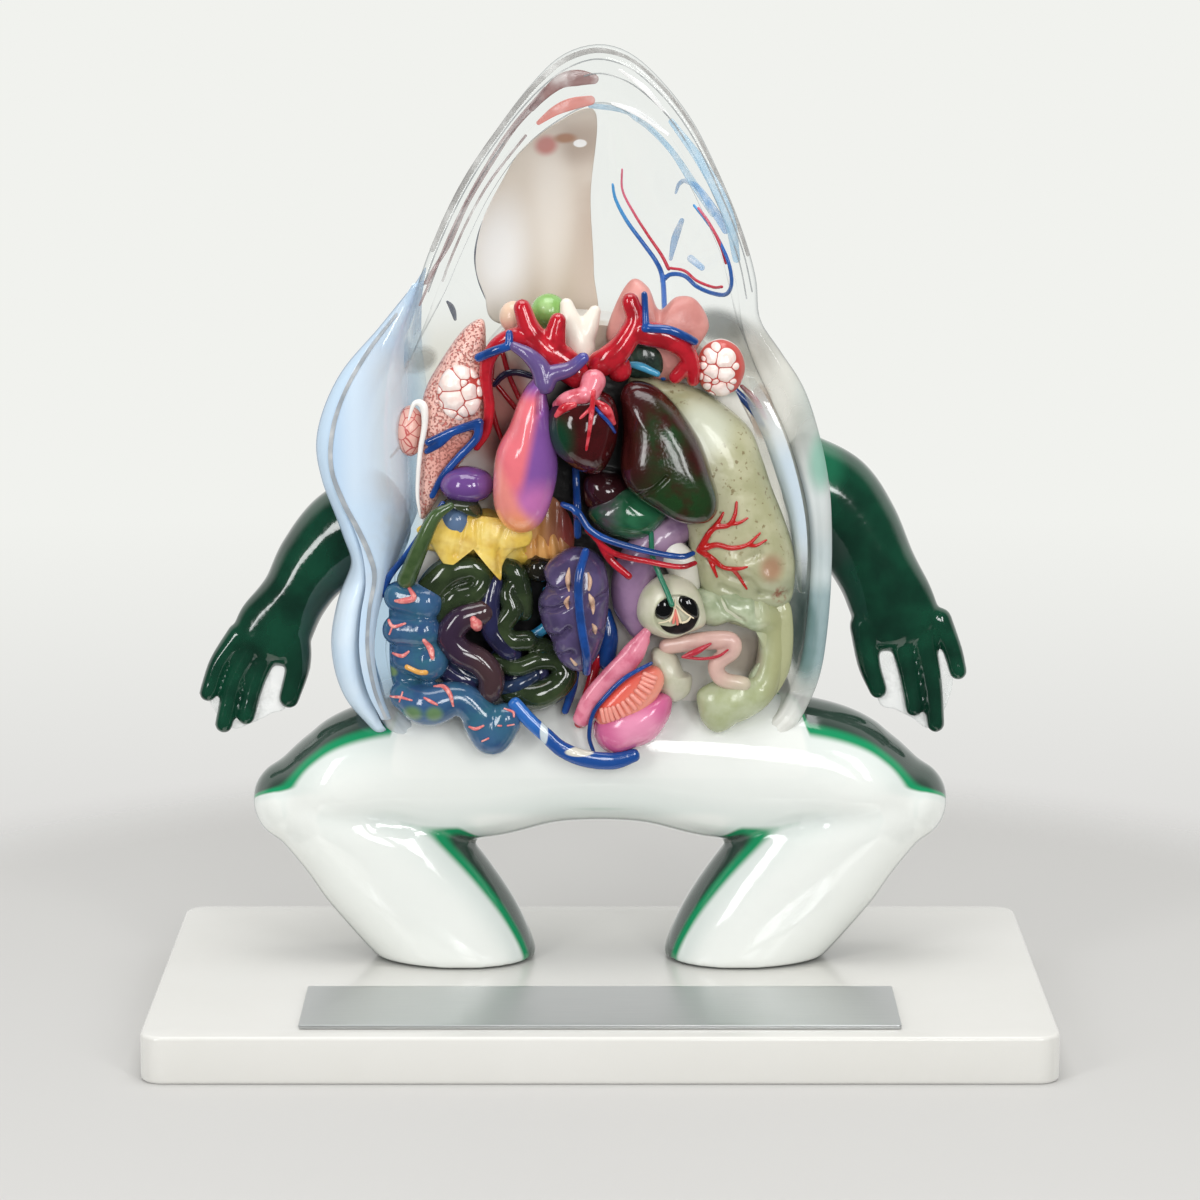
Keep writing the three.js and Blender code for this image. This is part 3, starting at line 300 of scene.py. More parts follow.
def laid_on(tree, path, radius=1.0, sink=0.3, step=1.2):
    """The points of a tube that lies on the front of the pieces in a tree. A ray along +Y from in
    front finds the surface under each point of the path, which is x, z or x, z, radius. sink is how
    deep the tube lies in the surface: 0 for not at all, 1 for all of it."""
    rows = np.array([list(p) + [radius] * (3 - len(p)) for p in path], float)
    length = np.linalg.norm(np.diff(rows[:, :2], axis=0), axis=1).sum()
    dense = spline(rows, np.linspace(0, 1, max(3, int(length / step) + 1)))
    found = []
    for x, z, r in dense:
        hit = tree.ray_cast(Vector((x * MM, RAY_FROM * MM, z * MM)), Vector((0, 1, 0)))[0]
        if hit is not None:
            found.append([x, hit.y / MM - r * (1 - sink) + r * sink, z, r])
    return found if len(found) > 1 else None


def tubes_on(tree, paths, around, along, **how):
    """A tube along each path that meets the pieces in a tree."""
    return [tube(rows, around, along) for rows in (laid_on(tree, path, **how) for path in paths) if rows]


def laid(name, pieces, paths, around, along, material, slot, body="stand", **how):
    """Separate tubes as one piece that lies on the front of other pieces."""
    made(name, tubes_on(tree_of(*pieces), paths, around, along, **how), material, body, slot)


print("skins, objects and laid paths are ready")

# %% [markdown]
# ## Materials
# The organs are cast resin, airbrushed in soft-edged colours and then coated with gloss enamel. In Blender that is a
# Principled shader with a coat, over a ground colour and sprayed patches. A patch is a mask worked out from the
# object's own coordinates in millimetres, so it never slides. A few patches are painted highlights and painted shade.


# %% Colours and nodes
def lin(colour):
    """sRGB hex to linear RGBA."""
    c = np.array([int(colour[i : i + 2], 16) for i in (1, 3, 5)]) / 255
    return (*np.where(c <= 0.04045, c / 12.92, ((c + 0.055) / 1.055) ** 2.4), 1.0)


def wire(tree, node, inputs):
    """Sets or links a node's inputs, which are called by their names or places."""
    for key, value in inputs.items():
        if isinstance(value, bpy.types.Node):
            value = value.outputs[0]
        if isinstance(value, bpy.types.NodeSocket):
            tree.links.new(value, node.inputs[key])
        else:
            node.inputs[key].default_value = value


def add(tree, kind, inputs=None, **settings):
    """Adds a node of that kind, with its settings and its inputs."""
    node = tree.nodes.new("ShaderNode" + kind)
    for key, value in settings.items():
        setattr(node, key, value)
    wire(tree, node, inputs or {})
    return node


def maths(tree, operation, *values):
    """One step of arithmetic on numbers."""
    return add(tree, "Math", dict(enumerate(values)), operation=operation).outputs[0]


def vectors(tree, operation, *values):
    """One step of arithmetic on vectors. A length or a dot product is the output "Value"."""
    return add(tree, "VectorMath", dict(enumerate(values)), operation=operation).outputs


def ramp(tree, value, start, end, top=1.0):
    """A smooth step: 0 where the value is at start, top where it is at end."""
    inputs = {"Value": value, "From Min": start, "From Max": end, "To Max": top}
    return add(tree, "MapRange", inputs, interpolation_type="SMOOTHSTEP").outputs[0]


def spread(tree, share, low, high):
    """A share of 0 to 1, spread over low to high."""
    return add(tree, "MapRange", {"Value": share, "To Min": low, "To Max": high}).outputs[0]


def noise(tree, where, size, detail):
    """Soft noise with grains of that size."""
    return add(tree, "TexNoise", {"Vector": where, "Scale": 1 / size, "Detail": detail}).outputs["Fac"]


def blend(tree, share, ground, other, **settings):
    """The ground colour at share 0, the other colour at share 1."""
    inputs = {0: share, 6: ground, 7: other}
    return add(tree, "Mix", inputs, data_type="RGBA", clamp_factor=True, **settings).outputs[2]


def bumps(tree, height, lift, strength=1.0):
    """The surface's direction, tilted by a height of 0 to 1 that stands for lift millimetres."""
    return add(tree, "Bump", {"Height": height, "Distance": lift * MM, "Strength": strength}).outputs[0]


def blank(name):
    """A new material, its tree, and a socket with the object's own coordinates in metres."""
    material = bpy.data.materials.new(name)
    material.use_nodes = True
    tree = material.node_tree
    return material, tree, add(tree, "TexCoord").outputs["Object"]


def in_mm(tree, coords):
    """Coordinates in millimetres."""
    return add(tree, "VectorMath", {0: coords, "Scale": 1 / MM}, operation="SCALE").outputs[0]


# %% Masks
def along_x(start, end):
    """A mask that runs from 0 at one x to 1 at another."""
    return "along", (start, 0, 0), (end, 0, 0)


def along_y(start, end):
    """The same along Y, which runs from the front to the back."""
    return "along", (0, start, 0), (0, end, 0)


def along_z(start, end):
    """The same along Z, which runs upwards."""
    return "along", (0, 0, start), (0, 0, end)


def mask(tree, where, spec):
    """A socket from 0 to 1 over the piece. spec is one of
    ("spot", centre, radii, softness): 1 inside an egg, fading to 0 over its edge;
    ("along", start, end): from 0 at one point to 1 at another;
    ("grain", size, share, softness): a noise of that grain, 1 over about that share;
    ("cells", size, width): 1 on the walls between cells of that size;
    or a list of these, which are multiplied."""
    if isinstance(spec, list):
        product = mask(tree, where, spec[0])
        for other in spec[1:]:
            product = maths(tree, "MULTIPLY", product, mask(tree, where, other))
        return product
    kind, *rest = spec
    if kind == "spot":
        centre, radii, soft = rest
        off = vectors(tree, "DIVIDE", vectors(tree, "SUBTRACT", where, centre)[0], radii)[0]
        value = vectors(tree, "LENGTH", off)["Value"]
        low, high = 1 + soft / 2, 1 - soft / 2
    elif kind == "along":
        start, end = (np.array(p, float) for p in rest)
        step = end - start
        off = vectors(tree, "SUBTRACT", where, tuple(start))[0]
        value = vectors(tree, "DOT_PRODUCT", off, tuple(step / (step @ step)))["Value"]
        low, high = 0.0, 1.0
    elif kind == "grain":
        size, share, soft = rest
        value = noise(tree, where, size, 3.0)
        level = 0.72 - 0.44 * share  # this noise lies above that level over about that share
        low, high = level - soft / 2, level + soft / 2
    else:
        size, width = rest
        cells = add(tree, "TexVoronoi", {"Vector": where, "Scale": 1 / size}, feature="DISTANCE_TO_EDGE")
        value = cells.outputs["Distance"]
        low, high = width, width * 0.4
    return ramp(tree, value, low, high)


# %% Gloss enamel, sprayed
ENAMEL_IOR, COAT_ROUGHNESS, PORE_DEPTH = 1.5, 0.06, 3.0


def enamel(name, ground, patches=(), rough=0.16, coat=0.5, grain=2.5, lift=0.12, pores=None, mottle=0.06):
    """Cast resin with airbrushed colour under gloss enamel. Each patch is a colour and a mask. grain
    and lift are the size and height, in millimetres, of the brushed unevenness under the gloss, and
    mottle is how much the paint's depth varies."""
    material, tree, coords = blank(name)
    where = in_mm(tree, coords)
    colour = lin(ground)
    for other, spec in patches:
        colour = blend(tree, mask(tree, where, spec), colour, lin(other))
    shade = spread(tree, noise(tree, where, 4 * grain, 4.0), 1 - 2 * mottle, 1 + mottle)
    height = noise(tree, where, grain, 2.0)
    if pores:
        height = maths(tree, "MULTIPLY_ADD", mask(tree, where, pores), -PORE_DEPTH, height)
    wire(
        tree, tree.nodes["Principled BSDF"],
        {
            "Base Color": blend(tree, 1.0, colour, shade, blend_type="MULTIPLY"), "Roughness": rough,
            "IOR": ENAMEL_IOR, "Coat Weight": coat, "Coat Roughness": COAT_ROUGHNESS,
            "Normal": bumps(tree, height, lift)
        }
    )
    return material


def speckled(name, ground, speckle, spots, **looks):
    """Enamel with one other colour in soft spots: spots is their size, share and softness."""
    return enamel(name, ground, [(speckle, ("grain", *spots))], **looks)


def paint_by_attribute(material, name, colour, start, end):
    """Mixes a colour over the ground where a named value on the mesh runs from start to end."""
    tree = material.node_tree
    socket = tree.nodes["Principled BSDF"].inputs["Base Color"]
    share = ramp(tree, add(tree, "Attribute", attribute_name=name).outputs["Fac"], start, end)
    tree.links.new(blend(tree, share, socket.links[0].from_socket, lin(colour)), socket)


# %% [markdown]
# ## Base plate, name plate and screws
# The base is a moulded plate of white ABS with rounded corners and a softened top edge. The name
# plate is brushed aluminium sheet, stuck on and left bare. Both are rounded rectangles carried up a
# short profile, so one function makes both. A bevelled cube would do as well, but its corner radius
# and its edge radius could not differ.


# %% A rounded plate
def plate(width, depth, corner, bottom, top, edge, x=0.0, y=0.0, around=12):
    """Rounded rectangle carried along a profile: the corner angle runs round the plate, and the
    profile is two quarter circles of the edge radius, which move the outline inwards."""
    turn = np.linspace(0, np.pi / 2, around)
    corners = np.concatenate([turn + k * np.pi / 2 for k in range(4)])
    sign = np.repeat([[1, 1], [-1, 1], [-1, -1], [1, -1]], around, 0)
    arc = np.linspace(0, np.pi / 2, 5)
    inset = np.concatenate([edge * (1 - np.sin(arc)), edge * (1 - np.cos(arc))])
    level = np.concatenate([bottom + edge * (1 - np.cos(arc)), top - edge * (1 - np.sin(arc))])
    half = np.array([width, depth]) / 2
    rings = []
    for offset, z in zip(inset, level):
        radius = max(corner - offset, 0.05)
        flat = sign * (half - offset - radius) + radius * np.stack([np.cos(corners), np.sin(corners)], -1)
        rings.append(np.column_stack([flat + [x, y], np.full(len(flat), z)]))
    inner = rings[-1].copy()
    inner[:, :2] = (inner[:, :2] - [x, y]) * 0.9 + [x, y]
    floor = rings[0].copy()
    floor[:, :2] = (floor[:, :2] - [x, y]) * 0.9 + [x, y]
    return np.stack([floor, *rings, inner])


white_abs = speckled(
    "white_abs_moulded", "#dddcd8", "#d9d8d3", (60, 0.5, 0.6), rough=0.24, coat=0.25, grain=0.8, lift=0.012,
    mottle=0.004
)
base = made(
    "base", [plate(BASE_WIDTH, BASE_DEPTH, 7, 0, BASE_HEIGHT, 1.2)], white_abs, slot="base_white",
    replaces=["base_plate"]
)
print("base faces:", len(base.data.polygons))


# %% Brushed aluminium
def brushed(name, colour, rough, stroke):
    """Rolled and brushed metal: a noise stretched along X, as the brush ran, tilts the surface and
    changes its roughness. stroke is the scratch length over its width."""
    material, tree, coords = blank(name)
    where = add(tree, "Mapping", {"Vector": coords, "Scale": (1 / MM / stroke, 1 / MM, 1 / MM)})
    lines = add(tree, "TexNoise", {"Vector": where, "Scale": 2.2, "Detail": 3.0}).outputs["Fac"]
    wire(
        tree, tree.nodes["Principled BSDF"],
        {
            "Base Color": blend(tree, lines, lin(colour), lin("#c9cccd")), "Metallic": 1.0,
            "Roughness": spread(tree, lines, rough - 0.06, rough + 0.1), "Normal": bumps(tree, lines, 0.02, 0.6)
        }
    )
    return material


aluminium = brushed("brushed_aluminium_sheet", "#d0d2d1", 0.34, 40)
low = BASE_HEIGHT + GLUE_FILM
sheet = plate(
    NAME_PLATE["width"], NAME_PLATE["depth"], 0.8, low, low + NAME_PLATE["thickness"], 0.25, y=NAME_PLATE["y"]
)
made("name_plate_bare", [sheet], aluminium, slot="plate_metal", replaces=["name_plate"])
steel = brushed("zinc_plated_steel", "#8f9294", 0.3, 3)
for side in ("left", "right"):
    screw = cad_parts["foot_screw_" + side]
    screw.data.materials.clear()
    screw.data.materials.append(steel)
print("plates and screws are finished")

# %% [markdown]
# ## Legs
# The legs are one glossy casting: white at the front, dark green at the back. Each leg is a thick
# tube from knee to knee through the hips, with a shank below each knee. The paint changes at the
# joint between the mould's halves, a plane that leans forward a little, so the colour is a mask of
# the distance from that plane. The fold over each knee is pressed into the finished casting; it
# deepens away from the middle, so that it leaves no step between the legs.

# %% Leg shapes
HIPS = [[-98, 67, 14], [-86, 71.5, 19], [-70, 77, 22.5], [-40, 79.5, 25], [-14, 82.5, 22.5]]
SHANK = [[-86, 64, 20], [-73, 53, 24], [-60, 38, 24.5], [-49, 24, 23.5], [-42, 12, 22.5]]


def on_plate(rings):
    """Flattens a shank where it stands on the base plate."""
    rings = rings.copy()
    rings[..., 2] = np.maximum(rings[..., 2], BASE_HEIGHT + 0.1)
    return rings


shanks = [tube([[side * -x, LEG_Y, z, w, LEG_DEPTH - 1] for x, z, w in SHANK], 64, 24) for side in (-1, 1)]
left_half = [[x, LEG_Y, z, w, min(LEG_DEPTH, w + 1)] for x, z, w in HIPS]
hips = tube(left_half + [[-x, *rest] for x, *rest in left_half[::-1]], 64, 16)
split = np.array([0, math.cos(LEG_SPLIT_TILT), math.sin(LEG_SPLIT_TILT)])
on_split = np.array([0, LEG_SPLIT_Y, LEG_SPLIT_Z])
leg_enamel = enamel("leg_gloss_enamel", "#ebeeea", rough=0.1, coat=0.8, grain=12, lift=0.25, mottle=0.015)


# how much further back the edge was painted, in millimetres
CALF_SHIFT, CROTCH_SHIFT, HIP_SHIFT = 13.0, 8.0, 14.0


def paint_legs(material):
    """The distance behind the split plane sets the colour: white, then a vivid green edge, then dark
    green. The edge was painted further back on the outer calves, below the hips and on the hips'
    tops, which the dish hides, so there the distance is made smaller. Where the surface turns to the
    back it is dark green everywhere but on those tops."""
    tree = material.node_tree
    where = next(n for n in tree.nodes if n.type == "VECT_MATH" and n.operation == "SCALE").outputs[0]
    off = vectors(tree, "SUBTRACT", where, tuple(on_split))[0]
    behind = vectors(tree, "DOT_PRODUCT", off, tuple(split))["Value"]
    place = add(tree, "SeparateXYZ", {0: where}).outputs
    side, high = maths(tree, "ABSOLUTE", place["X"]), place["Z"]
    normal = add(tree, "NewGeometry").outputs["Normal"]
    outwards = add(tree, "SeparateXYZ", {0: normal}).outputs["X"]
    outwards = maths(tree, "MULTIPLY", outwards, maths(tree, "SIGN", place["X"]))
    calf = maths(tree, "MULTIPLY", ramp(tree, outwards, 0.1, 0.45, CALF_SHIFT), ramp(tree, high, 75, 65))
    under = maths(tree, "MULTIPLY", ramp(tree, high, 68, 62), ramp(tree, side, 46, 34, CROTCH_SHIFT))
    under = maths(tree, "MULTIPLY", under, ramp(tree, high, 50, 56))
    hidden = maths(tree, "MULTIPLY", ramp(tree, high, 78, 84), ramp(tree, side, 67, 60, HIP_SHIFT))
    shift = maths(tree, "ADD", maths(tree, "ADD", calf, under), hidden)
    depth = maths(tree, "SUBTRACT", behind, shift)
    colour = lin("#ebeeea")
    for other, start, end in (("#dfe6e2", -8, -3), ("#1f9261", -2.4, -0.6), ("#36473f", 0.0, 2.2), ("#1c4434", 5, 15)):
        colour = blend(tree, ramp(tree, depth, start, end), colour, lin(other))
    turned = vectors(tree, "DOT_PRODUCT", normal, (0, 1, -0.2))["Value"]
    in_sight = maths(tree, "MULTIPLY_ADD", hidden, -1 / HIP_SHIFT, 1.0)
    rim = maths(tree, "MULTIPLY", ramp(tree, turned, -0.4, -0.22), in_sight)
    wire(tree, tree.nodes["Principled BSDF"], {"Base Color": blend(tree, rim, colour, lin("#27493d"))})


paint_legs(leg_enamel)
legs = fused(
    "legs", [on_plate(hips), *map(on_plate, shanks)], leg_enamel, voxel=1.0, rounds=24, slot="leg_white",
    replaces=["legs_front", "legs_back"]
)
crease = [[-46, 61], [-58, 61.5], [-70, 63.5], [-84, 65.5]]
FOLD_FROM, FOLD_OVER = 49, 14  # distance from the middle where the fold begins, and over which it deepens
points = points_of(legs) / MM
deepen = np.clip((np.abs(points[:, 0]) - FOLD_FROM) / FOLD_OVER, 0, 1) ** 2
for fold, width, depth in ((crease[:3], 3.2, 1.0), (crease, 4.5, 0.8)):
    points = press(points, [fold, [[-x, z] for x, z in fold]], width, depth * deepen, LEG_Y)
legs.data.vertices.foreach_set("co", np.ravel(points * MM))
legs.data.update()
print("legs are pressed and painted")

# %% [markdown]
# ## The clear dish
# Head and trunk are one clear cast of acrylic resin, about 4.5 mm thick, open at the front with a
# rolled rim. It is one closed surface: a profile runs from the outer back over the side, round the
# rim and back down the inner wall, and it is carried round the outline. Light passes straight
# through it, and its edges mirror more than its face does, as those of a thick clear wall do.

# %% Dish shape
DISH_OUTER = [
    [-1, 309], [-12, 305.5], [-22, 296], [-32, 283], [-41, 270], [-48, 257], [-54, 243], [-59, 228], [-66, 212],
    [-74, 197], [-78, 182], [-77, 167], [-74, 153], [-71, 142], [-74, 127], [-75, 115], [-72, 103], [-66, 92],
    [-45, 82], [0, 78], [45, 82], [60, 92], [66, 101], [70, 112], [72, 126], [73, 142], [73, 158], [72, 172],
    [69, 187], [64, 202], [57, 213], [50, 224], [48.5, 237], [44.5, 251], [38, 267], [29, 285], [19, 298], [9, 306.5]
]
DISH_INNER = [
    [-1, 295], [-14, 289], [-26, 279], [-36, 265], [-44, 249], [-50, 235], [-55, 222], [-61, 208], [-69, 194],
    [-72, 181], [-71, 168], [-68, 155], [-65, 143], [-67, 128], [-68, 117], [-65, 105], [-59, 95], [-40, 88], [0, 85],
    [40, 88], [54, 96], [60, 105], [64, 117], [66, 134], [66.5, 150], [65, 166], [60, 184], [54, 198], [48, 211],
    [44.5, 222], [43, 233], [40, 245], [34, 259], [28, 271], [20, 283], [9, 292]
]


def even(outline, around):
    """Points at equal steps of arc length round a closed outline, from its first point."""
    fine = spline(outline, np.linspace(0, 1, 1200), closed=True)
    run = np.concatenate([[0], np.cumsum(np.linalg.norm(np.diff(fine, axis=0), axis=1))])
    places = np.linspace(0, run[-1], around, endpoint=False)
    return np.column_stack([np.interp(places, run, fine[:, k]) for k in (0, 1)])


def dome(depth, steps, first=0.02):
    """Share of the outline and height, for a superellipse dome from its pole to its edge."""
    angle = np.linspace(first, np.pi / 2, steps)
    return np.sin(angle) ** (2 / DISH_POWER), depth * np.cos(angle) ** (2 / DISH_POWER)


# height where the head begins, over how much it does, and how much closer its inner wall stands there
HEAD_FROM, HEAD_OVER, HEAD_NARROWING = 215, 30, 0.045
RIM_FLATTENING = 0.62  # the rim stands out this share of what the profile below says


def dish_skin(around=240):
    """Rings from the pole of the outer dome to its edge, round the rim and back to the pole of the
    inner dome. On the head the rim has a step, and the inner wall stands a little further in."""
    outer, inner = even(DISH_OUTER, around), even(DISH_INNER, around)
    middle_out, middle_in = middle_of(DISH_OUTER), middle_of(DISH_INNER)
    share, height = dome(DISH_DEPTH, 26)
    rings = [np.insert(middle_out + s * (outer - middle_out), 1, RIM_Y + h, axis=1) for s, h in zip(share, height)]
    head = np.clip((outer[:, 1] - HEAD_FROM) / HEAD_OVER, 0, 1)
    head = head * head * (3 - 2 * head)
    # the rim: out over a round front edge, down a step, and in over a rounded inner edge
    for across, front, step in [
        (0.0, -2.6, 0.0), (0.06, -4.4, 0.0), (0.18, -5.8, 0.0), (0.34, -6.3, 0.0), (0.5, -5.9, 0.3),
        (0.6, -5.0, 0.8), (0.7, -4.6, 1.2), (0.82, -4.3, 1.2), (0.92, -3.4, 0.8), (1.0, -1.6, 0.2),
    ]:
        flat = outer + across * (inner - outer)
        y = RIM_Y + front * RIM_FLATTENING + step * head
        rings.append(np.column_stack([flat[:, 0], np.broadcast_to(y, len(flat)), flat[:, 1]]))
    share, height = dome(DISH_DEPTH - DISH_WALL, 26)
    for s, h in zip(share[::-1], height[::-1]):
        narrow = 1 - HEAD_NARROWING * head * min(1, max(0, (h - 2) / 4))
        s = np.minimum(s, narrow)
        flat = middle_in + s[:, None] * (inner - middle_in)
        rings.append(np.column_stack([flat[:, 0], np.full(len(flat), RIM_Y + h), flat[:, 1]]))
    return np.stack(rings)


# %% Clear resin
# size and height of the cast face's waves in millimetres, and how edge-on it starts to mirror more
WAVE_SIZE, WAVE_HEIGHT, EDGE_FROM = 24, 0.8, 0.76


def clear(name, passed="#fdfefe", tints=(), milk_and_highlights=(), edge="#9aa0a4", face=0.015, rim=0.65, rough=0.04, wave=0.5):
    """Clear cast acrylic with a polished face. A small share of the light is mirrored where the surface is seen square
    on, face, and a large share where it is seen edge on, rim; the rest passes. The colour that passes counts once for
    each face crossed, so it stays near white. The mirrored share turns from white to the edge colour towards the edge,
    as thick resin greys. milk_and_highlights is a list of sprayed coats, some of them painted highlights: a colour,
    how much it covers, and a mask."""
    material, tree, coords = blank(name)
    tree.nodes.remove(tree.nodes["Principled BSDF"])
    where = in_mm(tree, coords)
    mixed = lin(passed)
    for other, spec in tints:
        mixed = blend(tree, mask(tree, where, spec), mixed, lin(other))
    bump = bumps(tree, noise(tree, where, WAVE_SIZE, 2.0), WAVE_HEIGHT, wave)
    facing = add(tree, "LayerWeight", {"Blend": 0.5, "Normal": bump}).outputs["Facing"]
    steep = ramp(tree, facing, EDGE_FROM, 1.0)
    body = add(tree, "BsdfTransparent", {"Color": mixed})
    for colour, cover, spec in milk_and_highlights:
        coat = add(tree, "BsdfDiffuse", {"Color": lin(colour)})
        body = add(tree, "MixShader", {0: maths(tree, "MULTIPLY", mask(tree, where, spec), cover), 1: body, 2: coat})
    mirror = blend(tree, steep, lin("#ffffff"), lin(edge))
    gloss = add(tree, "BsdfAnisotropic", {"Color": mirror, "Roughness": rough, "Normal": bump})
    whole = add(tree, "MixShader", {0: spread(tree, steep, face, rim), 1: body, 2: gloss})
    wire(tree, tree.nodes["Material Output"], {"Surface": whole})
    return material


acrylic = clear(
    "clear_cast_acrylic",
    tints=[
        ("#f3f2ee", along_z(228, 204)), ("#dfedf8", [along_x(-52, -64), along_z(228, 206)]),
        ("#dfe6e4", [along_x(58, 68), along_z(222, 204)])
    ],
    milk_and_highlights=[
        ("#f4f7f6", 0.6, ("spot", (66, 24, 172), (7, 30, 22), 0.8)), ("#efefec", 0.5, along_z(112, 98)),
        ("#f4f4f0", 0.35, [along_z(222, 206), ("grain", 34, 0.5, 0.5), along_x(40, 50)]),
        ("#cfcbc2", 0.5, ("spot", (-57.5, 20, 208), (5, 60, 4), 0.5)),
        ("#a9bfd4", 0.4, ("spot", (-62.4, 20, 211), (2.4, 60, 4), 0.8)),
        ("#8e9391", 0.6, ("spot", (38, 30, 218), (8.5, 60, 5), 0.8)),
        ("#b9b7ae", 0.4, ("spot", (48, 30, 212), (8, 60, 8), 1.0)),
        ("#ffe9de", 0.6, ("spot", (52, 28, 190.5), (3.6, 60, 8.4), 0.25)),
        ("#e9f2ef", 0.35, [("along", (62, 0, 202), (70, 0, 205)), along_z(176, 186), along_z(222, 208)]),
        ("#7fa9b4", 0.4, [along_x(60, 66), along_z(160, 150), along_z(106, 118)]),
        ("#54736f", 0.75, [("spot", (64.5, 20, 124), (4.6, 60, 15), 0.5), ("grain", 16, 0.75, 0.5)]),
        ("#dfe6e6", 0.55, [along_x(59, 63), along_z(136, 144), along_z(178, 166)]),
        ("#5fae95", 0.6, ("spot", (69, 28, 179), (4, 60, 9), 0.9)),
        ("#7d8281", 0.7, ("spot", (57, 20, 106), (3.4, 60, 3.2), 0.25))
    ]
)
dish = made("clear_dish", [dish_skin()], acrylic, slot="shell_clear", replaces=["torso_shell"])
print("dish faces:", len(dish.data.polygons))

# %% [markdown]
# ## Palate lining and flank flap
# The left half of the mouth's roof is a thin frosted beige sheet against the inner wall, with a straight edge at the
# middle and two white painted highlights. The flap of skin on the flank is a blue-tinted clear strip with a white
# painted highlight.

# %% Palate lining
LINING = [
    [-1.5, 287], [-15, 283], [-25, 275], [-30, 267], [-37, 253], [-39.5, 239], [-37, 228], [-32, 218], [-3, 216],
    [-2, 235], [-3, 259]
]


def dish_wall(x, z, inset=0.0):
    """Y of the dish's inner wall: RIM_Y + depth * (1 - share^power)^(1/power), where share is how far
    out a point lies between the middle and the outline."""
    outline = even(DISH_INNER, 720)
    middle = middle_of(DISH_INNER)
    away = outline - middle
    order = np.argsort(np.arctan2(away[:, 1], away[:, 0]))
    angle = np.arctan2(z - middle[1], x - middle[0])
    reach = np.interp(
        angle, np.arctan2(away[:, 1], away[:, 0])[order], np.linalg.norm(away, axis=1)[order], period=2 * np.pi
    )
    share = np.clip(np.hypot(x - middle[0], z - middle[1]) / (reach - inset), 0, 1)
    return RIM_Y + (DISH_DEPTH - DISH_WALL - inset) * (1 - share**DISH_POWER) ** (1 / DISH_POWER)


def lining_skin(inset=0.35, wall=1.4, around=160, steps=40):
    """The outline is shrunk in even steps towards its middle, each ring is dropped on the wall, and
    the two sides lie a wall's thickness apart."""
    edge = even(LINING, around)
    middle = middle_of(LINING)
    share = np.concatenate([np.linspace(0.02, 1, steps), np.linspace(1, 0.02, steps)])
    flat = middle + share[:, None, None] * (edge - middle)
    back = dish_wall(flat[..., 0], flat[..., 1], inset)
    front = dish_wall(flat[..., 0], flat[..., 1], inset + wall)
    y = np.where(np.arange(2 * steps)[:, None] < steps, back, front)
    return np.stack([flat[..., 0], np.maximum(y, RIM_Y + 12), flat[..., 1]], -1)


frosted = enamel(
    "frosted_beige_resin", "#e4dace",
    [
        ("#c6b7a4", [along_z(254, 222), along_x(-44, -28)]), ("#cdbdae", [along_x(-12, -3), ("grain", 20, 0.7, 0.5)]),
        ("#bfafa2", ("spot", (-9, 40, 277), (10, 40, 7), 1.2)),
        # the two white spots are painted highlights: a broad glow at the left and a small glint near the top
        ("#ffffff", ("spot", (-33, 40, 242), (9, 40, 16), 1.6)),
        ("#efe8df", ("spot", (-16, 40, 256), (5, 40, 22), 1.6)),
        ("#c98a84", ("spot", (-17, 30, 276.5), (3.4, 40, 3.2), 0.9)),
        ("#b0876f", ("spot", (-11, 30, 278.5), (3.4, 40, 1.6), 0.9)),
        ("#ffffff", ("spot", (-6.3, 30, 276.6), (2.1, 40, 1.3), 0.3))
    ],
    rough=0.45, coat=0.15, grain=8, lift=0.1, mottle=0.015
)
made("palate", [lining_skin()], frosted, slot="lining_beige", replaces=["palate_lining"])
print("the lining lies on the wall")


# %% Cut the room of one piece out of another
def cut_away(piece, *others):
    """Takes the room of closed skins off a piece, by a boolean that is applied at once."""
    for number, rings in enumerate(others):
        block = made("cutting_block_%d" % number, [rings], None)
        cut = piece.modifiers.new("cut", "BOOLEAN")
        cut.operation, cut.object, cut.solver = "DIFFERENCE", block, "EXACT"
        apply_modifiers(piece)
        bpy.data.objects.remove(block)


# %% Flank flap
FLANK = [
    [-57, 10, 232, 2.4, 12], [-66, 9, 217, 5, 14], [-76, 9, 202, 7, 16], [-82.5, 9, 187, 6.6, 17],
    [-82.5, 9, 175, 5.6, 17], [-77.5, 9, 158, 4.6, 16], [-74.5, 9, 146, 4.4, 15], [-78, 9, 132, 5.6, 16],
    [-79.5, 9, 119, 6, 16], [-77, 9, 106, 5.4, 14], [-70, 9, 95, 4, 12]
]
blue_resin = clear(
    "blue_tinted_clear_resin", "#e6f0fa",
    milk_and_highlights=[
        ("#cce3f8", 0.9, along_y(30, -9)), ("#e4eef5", 0.7, [along_z(160, 130), ("grain", 22, 0.5, 0.6)]),
        # the white spot on the flap is a painted highlight
        ("#f2f6f9", 0.9, ("spot", (-76, -2, 195), (3.4, 12, 6.5), 1.0))
    ],
    edge="#7f95b0", face=0.04
)
inner_leaf = cushion(
    [
        [-50, 246], [-60, 231], [-71, 213], [-78.5, 197], [-82, 184], [-80, 170], [-76, 156], [-73, 146], [-76, 132],
        [-77, 118], [-74, 104], [-66, 93], [-58, 100], [-56, 150], [-56, 200], [-48, 240]
    ],
    10, 9, 12, 4
)
TRUNK_ROOM = 1.005  # the flap and the arms keep clear of the trunk, grown by this
around_trunk = middle_of(DISH_OUTER) + TRUNK_ROOM * (np.array(DISH_OUTER) - middle_of(DISH_OUTER))
trunk_room = pad(cushion(around_trunk, RIM_Y, 30, DISH_DEPTH + GAP, DISH_POWER), 200, 20, back=None)
flap = fused(
    "flank_skin_flap", [tube(FLANK, 40, 12), pad(inner_leaf, 160, 16, back=None)], blue_resin, voxel=0.8, rounds=6,
    slot="flap_blue", replaces=["flank_flap"]
)
cut_away(flap, trunk_room)
print("flap faces:", len(flap.data.polygons))

